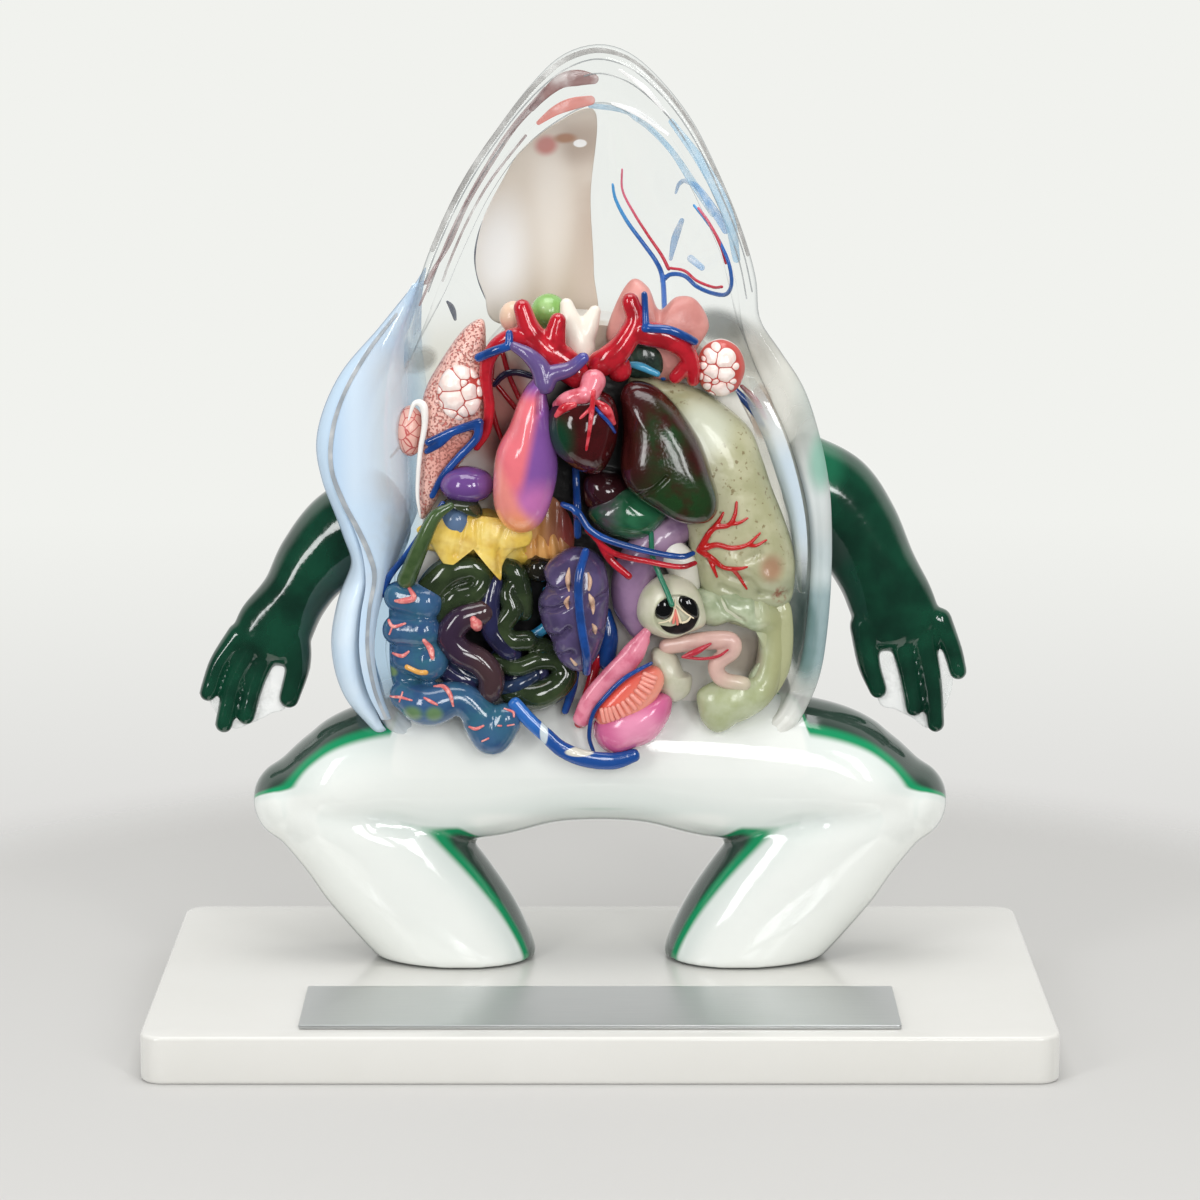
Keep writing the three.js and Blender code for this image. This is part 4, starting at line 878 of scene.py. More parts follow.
# %% [markdown]
# ## Thin sheets on the flanks
# Between the flap and the left lung the clear wall falls back like a bowl, and a pale sheen lies on
# the right flank. Both are cast with the dish; here they are sheets half a millimetre thick, because
# their colour follows their own slope.

# %% Bowl between the flap and the lung
# rows of height, x of the outer edge, x of the inner edge, y of the outer edge, depth
BOWL = [
    [236, -58, -55, -4, 8], [228, -63, -56, -5, 18], [216, -72.4, -56.5, -7, 27], [204, -79.4, -55.6, -8.4, 32],
    [192, -83.6, -54.6, -9, 34], [180, -84, -54.4, -9, 34], [170, -81, -55.4, -8.6, 30], [161, -77.4, -58, -8.2, 24],
    [152, -74.4, -62, -8, 15], [142, -73.4, -66.4, -8, 6], [132, -75, -69.6, -8.4, 3], [120, -75.6, -71, -8.4, 2],
    [108, -73.4, -69.4, -7.6, 2], [98, -69, -66, -6.4, 2]
]
SHEEN = [
    [206, 48, 43, 3, 4], [197, 53.6, 46.4, 0, 6], [186, 58.4, 51.4, -1.6, 8], [174, 62, 55.6, -2.6, 8],
    [162, 64.4, 59.2, -3, 8], [150, 65.2, 61, -3, 7], [138, 64.6, 62.4, -3, 5]
]


def bowl_skin(rows, across=60, along=90, wall=0.5):
    """At each height the sheet runs from its outer edge (u = 0) to its inner edge (u = 1), and it
    falls back by depth * u^4.5, so it is flat over the dish's rim and then steep. Its back lies a
    wall's thickness behind its front."""
    z, outer, inner, lip, depth = (c[:, None] for c in spline(np.array(rows, float), np.linspace(0, 1, along)).T)
    u = np.concatenate([np.linspace(0, 1, across), np.linspace(1, 0, across)])[None]
    back = np.concatenate([np.zeros(across), np.full(across, wall)])[None]
    x = outer + (inner - outer) * u
    return np.stack([x, lip + depth * u**4.5 + back, np.broadcast_to(z, x.shape)], -1)


bowl_resin = clear(
    "pale_blue_clear_resin", "#f6fafd",
    milk_and_highlights=[
        ("#f3f6f7", 0.4, along_x(-56, -63)), ("#d5e8fa", 0.8, along_x(-66, -77)),
        ("#b4d0ec", 0.75, along_x(-76, -84)), ("#c2dbf2", 0.75, [along_z(176, 158), ("grain", 14, 0.6, 0.5)]),
        ("#bcd6ee", 0.6, [along_z(208, 222), ("grain", 12, 0.6, 0.5)])
    ],
    edge="#9fb4cc", face=0.07
)
bowl = made("flank_bowl", [bowl_skin(BOWL)], bowl_resin, slot="flap_blue")
sheen_resin = clear(
    "pale_sheen_resin",
    milk_and_highlights=[
        ("#f1f6f9", 0.45, [along_z(208, 188), along_z(138, 156)]),
        ("#c9e0f2", 0.4, [along_z(190, 178), along_z(146, 162)])
    ],
    face=0.06
)
made("flank_sheen", [bowl_skin(SHEEN)], sheen_resin, slot="shell_clear")
print("bowl and sheen are made")

# %% [markdown]
# ## Arms
# Each arm is a dark green gloss casting: a forearm that swells at the shoulder and narrows to the
# wrist, and four fingers with rounded tips. The web between the fingers is clear.

# %% Arms
ARM_LEFT = {
    "forearm": [
        [-70, 24, 157, 17, 14], [-82, 25, 151, 15.6, 13], [-91.5, 24, 142.5, 12.8, 11], [-98, 22.5, 132.5, 11, 9.5],
        [-104, 21, 123, 12.4, 7.5], [-107, 20, 118, 12, 6.5]
    ],
    "fingers": [
        [[-116, 20, 120, 4], [-122.5, 19, 111, 3.2], [-126, 18, 101.5, 2.9]],
        [[-111, 19, 117, 4], [-117.6, 18.4, 105, 3.2], [-121, 17, 91.5, 3]],
        [[-106.5, 19, 115, 3.8], [-110.8, 18.4, 105, 3.2], [-113.8, 17, 94, 2.9]],
        [[-98, 20, 122, 5], [-97, 19, 111, 4.2], [-100, 18, 99.8, 3.4]]
    ],
    "web": [[-98, 116], [-100.5, 98], [-106, 94.5], [-112, 91.5], [-119, 90], [-126, 100], [-122, 112], [-110, 118]]
}
ARM_RIGHT = {
    "forearm": [
        [61, 24, 168, 18, 14], [73, 25, 162, 17.6, 13.5], [81.5, 24.5, 153.5, 15, 12.5], [88.5, 23, 141, 13.2, 11],
        [93.5, 21.5, 130.5, 13.6, 9], [97, 20, 123, 13, 7]
    ],
    "fingers": [
        [[109, 20, 125, 4], [113.2, 19, 115, 3.3], [115, 18, 108.6, 2.9]],
        [[103.6, 19, 120, 4], [106.6, 18, 105, 3.4], [108, 17, 91.6, 2.9]],
        [[96.4, 19, 119, 3.9], [99.2, 18, 107, 3.2], [101, 17, 96.8, 2.9]],
        [[84.6, 20, 123, 4.6], [86.4, 19, 111, 3.8], [89.4, 18, 102.6, 3]]
    ],
    "web": [[86, 118], [89.5, 99], [95, 96], [100, 93.5], [107, 90], [113, 102], [112, 115], [100, 120]]
}
green_enamel = enamel(
    "green_gloss_enamel", "#124531",
    [
        ("#0c2f22", ("grain", 14, 0.5, 0.4)), ("#0f2f25", along_y(22, 36)),
        ("#1f6a4c", ("spot", (70, 20, 176), (7, 40, 9), 1.0)),
        ("#c9dcea", [along_x(-77, -71), along_x(-40, -50), along_y(40, 26)]),
        ("#a9c9bd", [along_x(69, 64), along_x(40, 50), along_y(40, 26)])
    ],
    rough=0.13, coat=1.0, grain=5, lift=0.16
)
# the web's white grain is partly its own frosted white and partly painted glints
web_resin = clear("clear_web_resin", milk_and_highlights=[("#fbfcfb", 0.8, ("grain", 9, 0.6, 0.3))], rough=0.08)
flap_room = tube(FLANK, 40, 12, grow=GAP)
for side, data in (("left", ARM_LEFT), ("right", ARM_RIGHT)):
    skins = [tube(data["forearm"], 48, 16)] + [tube(finger, 24, 10) for finger in data["fingers"]]
    casting = fused(
        "arm_" + side + "_casting", skins, green_enamel, voxel=0.7, rounds=6, slot="skin_green",
        replaces=["arm_" + side]
    )
    cut_away(casting, trunk_room, *([flap_room] if side == "left" else []))
    sheet = cushion(data["web"], 18.5, 0.7, 0.7, 8)
    made("web_" + side, [pad(sheet, 80, 8, back=None)], web_resin, slot="shell_clear")

# %% [markdown]
# ## Paint on the shell
# Thin see-through strokes of paint run along the rim of the head and over its inside: plum and salmon on the left, sky
# blue on the right. White strokes on the rim are painted highlights. Each is a flat ribbon, a tenth as thick as it is
# wide, laid on the shell by rays, because a painted mask would need its path worked out in nodes.


# %% Paint on the shell
def paint(name, colour, cover):
    """Thinned lacquer: cover is the share of light that it stops."""
    material = enamel(name, colour, [("#f2f2f0", ("grain", 9, 0.15, 0.5))], rough=0.25, coat=0.3, grain=2)
    material.node_tree.nodes["Principled BSDF"].inputs["Alpha"].default_value = cover
    return material


def ribbons(name, tree, paths, material, slot="shell_clear", thick=0.1, lift=0.22):
    """Each path of x, z, half width becomes a tube laid on the surface and flattened along Y about
    its own middle line."""
    skins = []
    for path in paths:
        rows = laid_on(tree, path, 1.0, sink=0.5, step=2.0)
        if rows:
            rings = tube(rows, 16, 3)
            line = rings[..., 1].mean(axis=1, keepdims=True)
            rings[..., 1] = line - lift + thick * (rings[..., 1] - line)
            skins.append(rings)
    made(name, skins, material, slot=slot)


shell_tree = tree_of(dish)
flap_tree = tree_of(flap, bowl)
ridge = [
    [-63, 226.6, 0.4], [-72, 215, 0.6], [-79, 203, 0.6], [-83, 191, 0.7], [-83.6, 179, 0.7], [-80, 168, 0.8],
    [-75.4, 159, 0.8], [-72, 151, 0.8], [-70.6, 144, 0.7], [-72.4, 133, 0.6], [-73, 121, 0.6], [-71, 108, 0.6],
    [-67, 97, 0.5]
]
ribbons("flap_ridge", flap_tree, [ridge], paint("ridge_grey_lacquer", "#a3abb3", 0.8), slot="flap_blue")
plum, plum_thin = paint("plum_lacquer", "#9a7572", 0.75), paint("plum_thin_lacquer", "#9d8282", 0.5)
salmon_thin, slate_thin = paint("salmon_lacquer", "#e08f85", 0.75), paint("slate_lacquer", "#6d7486", 0.75)
sky_thin, sky_deep = paint("sky_lacquer", "#a4cde6", 0.5), paint("sky_deep_lacquer", "#7fb2e0", 0.5)
# white lacquer for the painted highlights on the rim
white_painted_highlight = paint("white_gleam_lacquer", "#ffffff", 0.75)


def rim_line(share, lowest, places=240):
    """Every fourth of these places round the rim, that share of the way from its outer to its inner
    edge and above the lowest height. The line begins at the bottom and so runs over the head whole."""
    outer, inner = even(DISH_OUTER, places), even(DISH_INNER, places)
    line = np.roll(outer + share * (inner - outer), places // 2, axis=0)[::4]
    return line[line[:, 1] > lowest]


seams = [[[x, z, 0.22] for x, z in rim_line(share, lowest)] for share, lowest in ((0.3, 232), (0.62, 226))]
band_rows = [[x, z, 0.55 + 0.3 * (x < 0)] for x, z in rim_line(0.11, 237)]
# name, lacquer, how far it stands off the shell, and paths of x, z, half width
STROKES = [
    (
        "rim_plum_patch", plum, 0.4,
        [[[-2, 298.6, 1.6], [-7, 299, 2.5], [-12, 298, 2.2], [-17, 294, 1.4], [-21, 289.6, 0.9]]]
    ),
    (
        "rim_plum_lines", plum_thin, 0.5,
        [
            [
                [-19, 292, 1.0], [-26, 284, 0.6], [-33, 273.6, 0.6], [-41, 260.6, 0.7], [-46.6, 248, 0.6],
                [-51, 241, 0.6], [-54, 236, 0.7]
            ],
            [[-17, 296, 0.4], [-28, 283, 0.4], [-37, 269, 0.4], [-45, 254, 0.4], [-52, 238, 0.4], [-56, 229, 0.4]],
            [[-23, 281, 0.4], [-34, 267, 0.4], [-41, 255, 0.4], [-46.4, 243, 0.4], [-49, 236, 0.4]]
        ]
    ),
    ("rim_salmon_line", salmon_thin, 0.22, [[[-3, 291.6, 1.5], [-9, 290.6, 1.9], [-14, 288.6, 1.5], [-19, 285, 0.7]]]),
    (
        "mouth_slate_line", slate_thin, 0.22,
        [
            [
                [-24, 275, 0.35], [-26, 269, 0.45], [-32, 260, 0.45], [-37, 252, 0.4], [-39.6, 242, 0.35],
                [-38.6, 233, 0.5], [-35.4, 225, 0.8], [-33, 220, 1.0]
            ]
        ]
    ),
    (
        "rim_sky_lines", sky_thin, 0.22,
        [
            [[-3, 289, 0.8], [10, 286.6, 0.9], [21, 277.4, 0.9], [29, 266, 1.2], [35, 257, 1.0]],
            [[22, 285.6, 0.9], [32, 272, 1.6], [39.6, 257, 1.8], [42.4, 243, 1.2]]
        ]
    ),
    (
        "mouth_sky_lines", sky_deep, 0.22,
        [
            [[24, 261, 0.4], [25.4, 264.6, 0.7], [29.6, 265.6, 0.8], [35, 258.6, 1.3], [39, 252, 1.2]],
            [[26, 252, 0.8], [24, 246, 1.2], [22.6, 239, 0.6]], [[29, 239.6, 1.2], [32.4, 237, 1.0]]
        ]
    ),
    ("rim_outer_band", paint("rim_grey_lacquer", "#8d8885", 0.45), 0.5, [band_rows]),
    ("rim_seams", paint("seam_grey_lacquer", "#9b9fa1", 0.6), 0.45, seams),
    # white strokes that are painted highlights on the rim
    (
        "rim_gleam", white_painted_highlight, 0.22,
        [[[4, 290.6, 0.5], [12, 287.6, 1.0], [21, 281.4, 0.5]], [[6, 301.6, 0.4], [14, 295.6, 0.9], [21, 287.4, 0.4]]]
    ),
    (
        "flank_strokes", slate_thin, 0.22,
        [
            [[-48.4, 227, 0.4], [-47, 224.4, 1.0], [-46.2, 220.6, 0.5]],
            [[-67, 177, 0.3], [-64.6, 179.4, 0.5], [-63.4, 181.4, 0.3]]
        ]
    )
]
for name, lacquer, lift, paths in STROKES:
    ribbons(name, shell_tree, paths, lacquer, lift=lift)
print("strokes of paint:", len(STROKES))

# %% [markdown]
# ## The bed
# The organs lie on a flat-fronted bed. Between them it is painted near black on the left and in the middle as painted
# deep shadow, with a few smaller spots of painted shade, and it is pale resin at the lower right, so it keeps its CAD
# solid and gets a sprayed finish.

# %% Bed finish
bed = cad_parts["organ_bed"]
# near black at the left and in the middle is painted deep shadow between the organs; the dark green and black spots
# above the liver and the beige-brown spot at the lower right are painted shade
bed_paint_and_shade = [
    ("#c6dff3", [along_x(-55, -64), along_z(226, 206)]), ("#0f0d10", ("spot", (-31, 5, 128), (29, 60, 25), 0.25)),
    ("#15110e", ("spot", (3, 5, 178), (26, 60, 35), 0.3)), ("#b78176", ("spot", (-31, 5, 196), (9, 40, 20), 0.6)),
    ("#5d2f2c", ("spot", (-27, 5, 184), (7, 40, 9), 0.9)),
    ("#cdc0ae", [along_z(208, 214), along_x(6, 0), along_x(-40, -34)]),
    ("#e2ded6", [along_z(204, 210), along_x(2, 8)]), ("#d7b6a7", ("spot", (22, 5, 210), (5, 40, 8), 0.5)),
    ("#3f5337", ("spot", (13, 5, 210), (6.4, 40, 6), 0.4)), ("#171a17", ("spot", (13, 5, 214.6), (5, 40, 3.4), 0.7)),
    ("#8a9a8e", ("spot", (40, 5, 205), (10, 40, 5), 0.8)), ("#b5aa9c", ("spot", (46, 5, 117), (10, 40, 7), 0.8))
]
on_front = along_y(22, 12)  # the back of the bed is left bare
bed_resin = enamel(
    "bed_cast_resin", "#e9e7e1",
    [(colour, (spec if isinstance(spec, list) else [spec]) + [on_front]) for colour, spec in bed_paint_and_shade], rough=0.35,
    coat=0.2, grain=3, lift=0.2
)
bed.data.materials.clear()
bed.data.materials.append(bed_resin)

# %% [markdown]
# ## Organs that lift off
# The heart, the liver's main lobe, a lung sac and a kidney pull straight forward off the bed, each
# on a plastic peg. What is painted or laid on one rides with it.

# %% Shapes of the organs that lift off
HEART = cushion(
    [
        [-2.8, 204.4], [3.2, 202.4], [5.6, 196.4], [5.4, 190], [3.8, 184], [0.8, 179], [-3, 178], [-8, 179.8],
        [-12.4, 183.2], [-15.4, 187.8], [-16.3, 193], [-15, 198.6], [-10.4, 203]
    ],
    -14, 10, 24, 1.9
)
LIVER = cushion(
    [
        [6.4, 203], [10, 206], [16, 205], [22, 200.5], [26.5, 195], [31.5, 187], [35, 177], [37, 169.5], [36, 164.5],
        [32, 161.8], [25, 162.2], [17, 166.5], [9.5, 172], [6.3, 179], [7, 190], [6.6, 198]
    ],
    -9, 12, 18, 2.5
)
KIDNEY = cushion(
    [
        [-6, 154], [0, 151], [2.5, 144], [2.5, 133], [0, 121], [-5, 114.5], [-11, 116], [-14.5, 121], [-15.2, 124.5],
        [-18, 129], [-19.3, 137], [-16.8, 142], [-17.4, 147.5], [-12, 152.5]
    ],
    -9, 10, 18
)
SAC = cushion(
    [
        [-18, 208.5], [-22, 206], [-25, 201], [-28, 193], [-32, 185], [-33.2, 176], [-32.8, 167], [-29, 160.6],
        [-23.5, 159], [-18, 162.5], [-14.5, 171], [-13, 180], [-14, 190], [-16, 200]
    ],
    -12, 10, 22
)
PEGS = {"heart": (-5, 191), "liver": (21, 184), "kidney": (-8, 134), "lung_sac": (-23, 178)}
peg_plastic = enamel("peg_white_nylon", "#dcdad2", rough=0.4, coat=0.0, grain=1, lift=0.02)
for body, (x, z) in PEGS.items():
    # a tube along Y has no sideways direction, so the pin is built along X and turned
    pin = tube([[0, 0, 0, PEG_RADIUS], [PEG_END - 2.5, 0, 0, PEG_RADIUS]], 32, 2)
    pin = np.stack([pin[..., 1] + x, pin[..., 0] + 1.0, pin[..., 2] + z], -1)
    made("peg_" + body, [pin], peg_plastic, body=body)

# %% Heart
maroon = enamel(
    "heart_maroon_enamel", "#451114",
    [("#33100f", ("grain", 6, 0.5, 0.4)), ("#123c28", ("spot", (-13.4, -20, 189.4), (5, 14, 7), 1.2))], rough=0.1,
    coat=0.45, grain=4, lift=0.2
)
heart = cast("heart", pad(HEART, 160, 36), maroon, "heart_maroon", body="heart")
ATRIA = [
    [[-13, -14.5, 199.5, 1.8], [-10, -17.5, 201.6, 2.6], [-5, -18.6, 203, 2.9]],
    [[-3.6, -17.4, 203, 3.4], [-2, -15.5, 207, 3.9]]
]
CORONARY = [
    [[-2, -20, 204.5, 1.2], [-2.6, -23.6, 198, 1.2], [-3.4, -24.2, 192, 0.9], [-4.2, -23.8, 187, 0.7]],
    [[-2.6, -22.8, 200, 0.9], [-6.5, -22.4, 196, 0.8], [-9.5, -21, 192, 0.7]],
    [[-2, -21.6, 202, 0.9], [2, -20, 198, 0.9], [5, -16, 193, 0.8]]
]
pink_enamel = speckled("atrium_pink_enamel", "#e2818f", "#c84a58", (5, 0.35, 0.2), grain=2)
fused(
    "atria_and_bulb", [tube(p, 24, 10) for p in ATRIA], pink_enamel, voxel=0.35, body="heart", slot="organ_pink",
    replaces=["atria"]
)
coronary_red = speckled("coronary_red_enamel", "#d8505a", "#b3202c", (3, 0.5, 0.2), grain=1.5)
ribbon = [[[x, y, z, 0.7 * r] for x, y, z, r in path] for path in CORONARY]
fused("coronary_vessels", [tube(p, 16, 8) for p in ribbon], coronary_red, voxel=0.25, body="heart", slot="artery_red")
corners = [
    [[-0.6, 201, 1.0], [2, 198.6, 1.7], [4.2, 194.6, 0.8]], [[-13.4, 197, 0.8], [-11, 199.4, 1.5], [-8, 200.4, 1.0]]
]
laid("heart_red_corners", [heart], corners, 18, 4, coronary_red, "artery_red", "heart", sink=0.45, step=0.8)
blue_line = [[-1.4, 199.6, 0.5], [0.6, 197.4, 0.6], [3, 194.6, 0.6], [4.6, 191.6, 0.45]]
coronary_blue = enamel("coronary_blue_enamel", "#1d3f8c", rough=0.15, coat=0.7, grain=1.5)
laid("coronary_vein", [heart], [blue_line], 14, 4, coronary_blue, "vein_blue", "heart", sink=0.1, step=0.8)
print("heart is made")

# %% Liver
liver_enamel = enamel(
    "liver_brown_enamel", "#3c1214",
    [
        ("#2c1410", ("along", (12, 0, 200), (28, 0, 172))),
        ("#1a3d1e", ("spot", (19.5, -20, 190), (6.5, 16, 10), 1.4)),
        ("#1d3d1c", ("spot", (25, -20, 170), (12, 16, 9), 1.3)), ("#3a1512", ("grain", 7, 0.35, 0.3))
    ],
    rough=0.18, coat=0.6, grain=0.9, lift=0.09
)
LEAN, LEAN_FROM = 0.16, 186  # the front stands further out below this height and less far above it
liver_pad = pad(LIVER, 200, 50)
liver_pad[..., 1] += LEAN * (liver_pad[..., 2] - LEAN_FROM) * np.clip((LIVER["y"] - liver_pad[..., 1]) / 6, 0, 1)
liver_rings = press(liver_pad, [[[20.5, 178], [17, 174.5], [12, 171.5], [8, 169]]], 0.7, 1.3, -10)
liver_rings = press(liver_rings, [[[8.5, 190], [8.4, 182]]], 1.2, 1.0, -8)
cast("liver_main_lobe", liver_rings, liver_enamel, "liver_brown", body="liver", name="liver")
print("liver is made")

# %% Lung sac and the great vein
sac_enamel = enamel(
    "sac_rose_enamel", "#84549f",
    [
        ("#e8757f", [("along", (-18.8, 0, 190), (-22.8, 0, 190.8)), along_z(206, 200)]),
        ("#c673b2", ("spot", (-19, -20, 166), (9, 16, 9), 1.0)),
        ("#ec8f86", [("along", (-26, 0, 176), (-30, 0, 174)), along_z(190, 182)]),
        ("#ee9a63", ("spot", (-27, -18, 156.5), (10, 18, 8.5), 1.0))
    ],
    rough=0.13, coat=0.8, grain=1.1, lift=0.06
)
sac_rings = press(pad(SAC, 120, 30), [[[-18.8, 203], [-18.8, 198]]], 0.9, 2.2, -12)
cast("lung_sac", sac_rings, sac_enamel, "sac_rose", body="lung_sac")
VENA = [
    [[-26.5, -12.5, 217.5, 1.6], [-22, -14, 215, 2.4], [-18.4, -14.5, 211, 3.1], [-17, -15, 206, 3.2]],
    [[-5.2, -14, 214, 1.9], [-9.5, -14, 210.6, 2.4], [-15, -14.5, 209, 2.9], [-17, -15, 206, 3.2]]
]
vena_enamel = enamel("vena_purple_enamel", "#624f83", [("#4c4f9a", ("along", (-10, 0, 212), (-4, 0, 215)))], grain=2)
vessel("vena_cava", VENA, vena_enamel, "vena_purple", body="lung_sac")
print("lung sac and vein are made")

# %% Kidney
kidney_enamel = speckled("kidney_violet_enamel", "#5d5077", "#4a3f63", (7, 0.5, 0.3), rough=0.14, coat=0.7)
lobes = [
    [[-18.2, 142], [-13, 141.5], [-9.5, 143]], [[-19.4, 134.5], [-14, 135.5], [-10, 137.5]],
    [[-15.4, 126], [-12, 127], [-9.8, 129.5]], [[-12.2, 120], [-9, 121.5]], [[2.6, 140], [-1, 138.5], [-2.6, 137]],
    [[0.8, 127], [-2, 128]]
]
kidney_rings = press(pad(KIDNEY, 220, 56), lobes, 1.0, 2.3, -9)
kidney = cast("kidney", kidney_rings, kidney_enamel, "kidney_violet", body="kidney")
KIDNEY_VEIN = [
    [-4.5, -15, 153.5, 1.4], [-6.4, -18.6, 147, 1.5], [-6.6, -19.4, 139, 1.5], [-5.6, -19.4, 130, 1.5],
    [-4.2, -17.8, 121, 1.5], [-4.2, -13, 115, 1.4]
]
vein_enamel = speckled("vein_blue_enamel", "#1c4a94", "#173c7c", (6, 0.5, 0.2), rough=0.14, coat=0.7, grain=2)
artery_enamel = speckled("artery_red_enamel", "#bd1f2d", "#9a1722", (7, 0.4, 0.2), rough=0.13, coat=0.8, grain=2.5)
vessel("kidney_vein", [KIDNEY_VEIN], vein_enamel, "vein_blue", 0.35, body="kidney")
cream_enamel = speckled("cream_patch_enamel", "#d8b79c", "#c79f86", (2, 0.5, 0.2), rough=0.3, coat=0.3)
patches = [
    [[-9.6, 148.4, 0.3], [-9.9, 145.8, 0.9], [-10, 143.4, 0.7], [-9.6, 141.6, 0.3]],
    [[-9.6, 140, 0.3], [-10.6, 138.2, 0.9], [-9.9, 136.2, 0.4]],
    [[-3.7, 147, 0.3], [-3.2, 144.6, 0.8], [-3.5, 142, 0.5]],
    [[-3.4, 140.6, 0.3], [-2.8, 138.6, 1.1], [-2.3, 136, 0.8], [-2.2, 134.4, 0.3]],
    [[-2.4, 131, 0.3], [-1.7, 129.4, 0.9], [-1.6, 127.4, 0.4]], [[-9, 119.6, 0.4], [-7.6, 117.8, 0.7]]
]
laid("kidney_patches", [kidney], patches, 16, 4, cream_enamel, "cream", "kidney", sink=0.7, step=0.8)
print("organs that lift off are made")

# %% [markdown]
# ## Vessels
# Arteries are bright red and veins blue. A forked vessel is a few tubes that share a point, joined
# by the remesh so that the fork has a soft crotch.

# %% Vessel routes
ARCH_LEFT = [
    [
        [-24, -9, 229, 2.8], [-21.5, -9, 222, 3.6], [-17, -9.5, 216, 5, 4.2], [-11, -9, 211.6, 5.2, 4.2],
        [-7, -9, 208, 4.4, 4]
    ],
    [[-13, -10, 225, 2.7], [-14, -10, 220, 3.6, 3.2], [-14.5, -9.5, 215, 4.4, 3.8]],
    [
        [-18, -9, 218, 3.6, 3.2], [-24, -9, 220, 3.2, 3], [-30, -8, 218.5, 2.8], [-34.5, -6, 213, 2.4],
        [-35.5, -5, 205, 2.1], [-34.5, -5, 198, 1.8], [-35.5, -4, 190, 1.6], [-38.5, -3, 184.5, 1.2]
    ]
]
ARCH_RIGHT = [
    [
        [9.3, -9, 231, 2.8], [10.8, -9, 225, 3.2], [7, -10, 217.5, 3.9, 3.4], [3, -10, 213.5, 4.3, 3.8],
        [0, -9, 211.5, 4.3, 3.8]
    ],
    [
        [10, -9, 222, 3.4, 3.2], [15, -9, 221, 4, 3.6], [21, -8.5, 219.5, 3.8, 3.4], [26, -7.5, 216, 3.2],
        [28.7, -6, 210.5, 2.6], [29, -4, 206, 2.2]
    ],
    [[27.5, -6.5, 212, 2.4], [23.5, -5.5, 207, 2.2]], [[5, -8, 214, 3.4], [6, -7, 209.5, 4]]
]
JUGULAR_LEFT = [
    [[-28, -11.4, 221.4, 1.2], [-28, -12.2, 217.6, 1.4]],
    [[-28, -12.2, 217.6, 1.4], [-33, -11.4, 215.8, 1.5], [-37.5, -8.6, 213.5, 1.5]]
]
JUGULAR_RIGHT = [
    [[14, -12, 223, 1.4], [21, -12, 222.6, 1.4], [26, -11, 220.5, 1.4], [29.3, -9, 218.5, 1.3]],
    [[13.7, -8, 233, 1.1], [14, -10.5, 228, 1.1], [14.2, -12, 223, 1.2]]
]
PULMONARY = [
    [[-37.5, -7.5, 193, 1.5], [-46, -7, 190, 1.4], [-53.5, -5.5, 186.5, 1.2]],
    [[-46, -7, 190, 1.3], [-50, -6, 186, 1.1], [-54, -4.5, 183.5, 1]],
    [
        [-37.5, -7.5, 193, 1.5], [-38.5, -7, 188, 1.4], [-44, -6.6, 182, 1.3], [-49, -6, 176, 1.2],
        [-52.5, -5, 169.5, 1]
    ]
]
MESENTERIC_VEIN = [
    [
        [-11.5, -12, 168, 1.3], [-7, -14, 166, 1.5], [-3, -15, 160.5, 1.5], [4, -15.4, 156.8, 1.5],
        [16, -15.6, 153.6, 1.4], [25, -15, 152, 1.3], [29, -13.6, 152.8, 1.1]
    ],
    [[-7.6, -4, 179, 1.6], [-7.4, -5, 172, 1.6], [-7, -9, 166, 1.7], [-7, -8, 157.5, 1.6]],
    [[-7, -8, 163, 1.5], [-7.6, -14, 166, 1.5]]
]
MESENTERIC_ARTERY = [
    [
        [-4, -12, 160, 1.2], [4, -14.4, 153.2, 1.3], [16, -15, 150.3, 1.3], [25, -14.6, 148.7, 1.2],
        [29.6, -13, 149.6, 1.1]
    ],
    [[-1, -12.4, 157.5, 1.4], [3, -13, 151, 1.7], [9, -13.4, 145.5, 1.5]]
]
BILE_DUCT = [
    [16, -7, 158, 0.9], [16.4, -11, 151.5, 0.9], [18.5, -12.5, 146, 0.9], [21, -14.5, 140.5, 0.9],
    [22.4, -16, 137, 0.9]
]
ABDOMINAL_VEIN = [
    [-27, -11, 104.5, 2.3, 1.6], [-22, -12, 99, 2.4, 1.6], [-17, -12.6, 94.5, 2.4, 1.6], [-12, -12.6, 90, 2.6, 1.8],
    [-5, -12.4, 87, 2.8, 1.8], [4, -12, 86, 2.8, 1.8], [11, -10.6, 87.6, 2.2, 1.6]
]
duct_enamel = enamel("duct_green_enamel", "#2f7a5e", grain=2)


def thinner(paths, share=0.78):
    """The CAD vessels are a little thick for their moulds; here they get their own width."""
    return [[[x, y, z, share * r] for x, y, z, r in path] for path in paths]


vessel("aortic_arch_left", ARCH_LEFT, artery_enamel, "artery_red", 0.45)
vessel("aortic_arch_right", ARCH_RIGHT, artery_enamel, "artery_red", 0.45)
vessel("jugular_vein_left", JUGULAR_LEFT, vein_enamel, "vein_blue", name="jugular_left")
vessel("jugular_vein_right", JUGULAR_RIGHT, vein_enamel, "vein_blue", name="jugular_right")
vessel("pulmonary_vein_left", PULMONARY, vein_enamel, "vein_blue", 0.35, name="pulmonary_vein")
vessel("mesenteric_vein", thinner(MESENTERIC_VEIN), vein_enamel, "vein_blue")
vessel("mesenteric_artery", thinner(MESENTERIC_ARTERY), artery_enamel, "artery_red")
vessel("bile_duct", [BILE_DUCT], duct_enamel, "gall_green", 0.3)
patched_enamel = enamel(
    "abdominal_vein_enamel", "#1f4d97",
    [
        ("#2f6ab8", along_x(-14, -22)), ("#d6d3c6", ("spot", (-6.4, -20, 89.4), (4.6, 30, 1.5), 0.25)),
        ("#c9d4da", ("spot", (-17.6, -20, 95.6), (1.3, 30, 4), 0.3))
    ],
    rough=0.14, coat=0.7, grain=2
)
vessel("abdominal_vein", [ABDOMINAL_VEIN], patched_enamel, "vein_blue")
print("vessels are made")

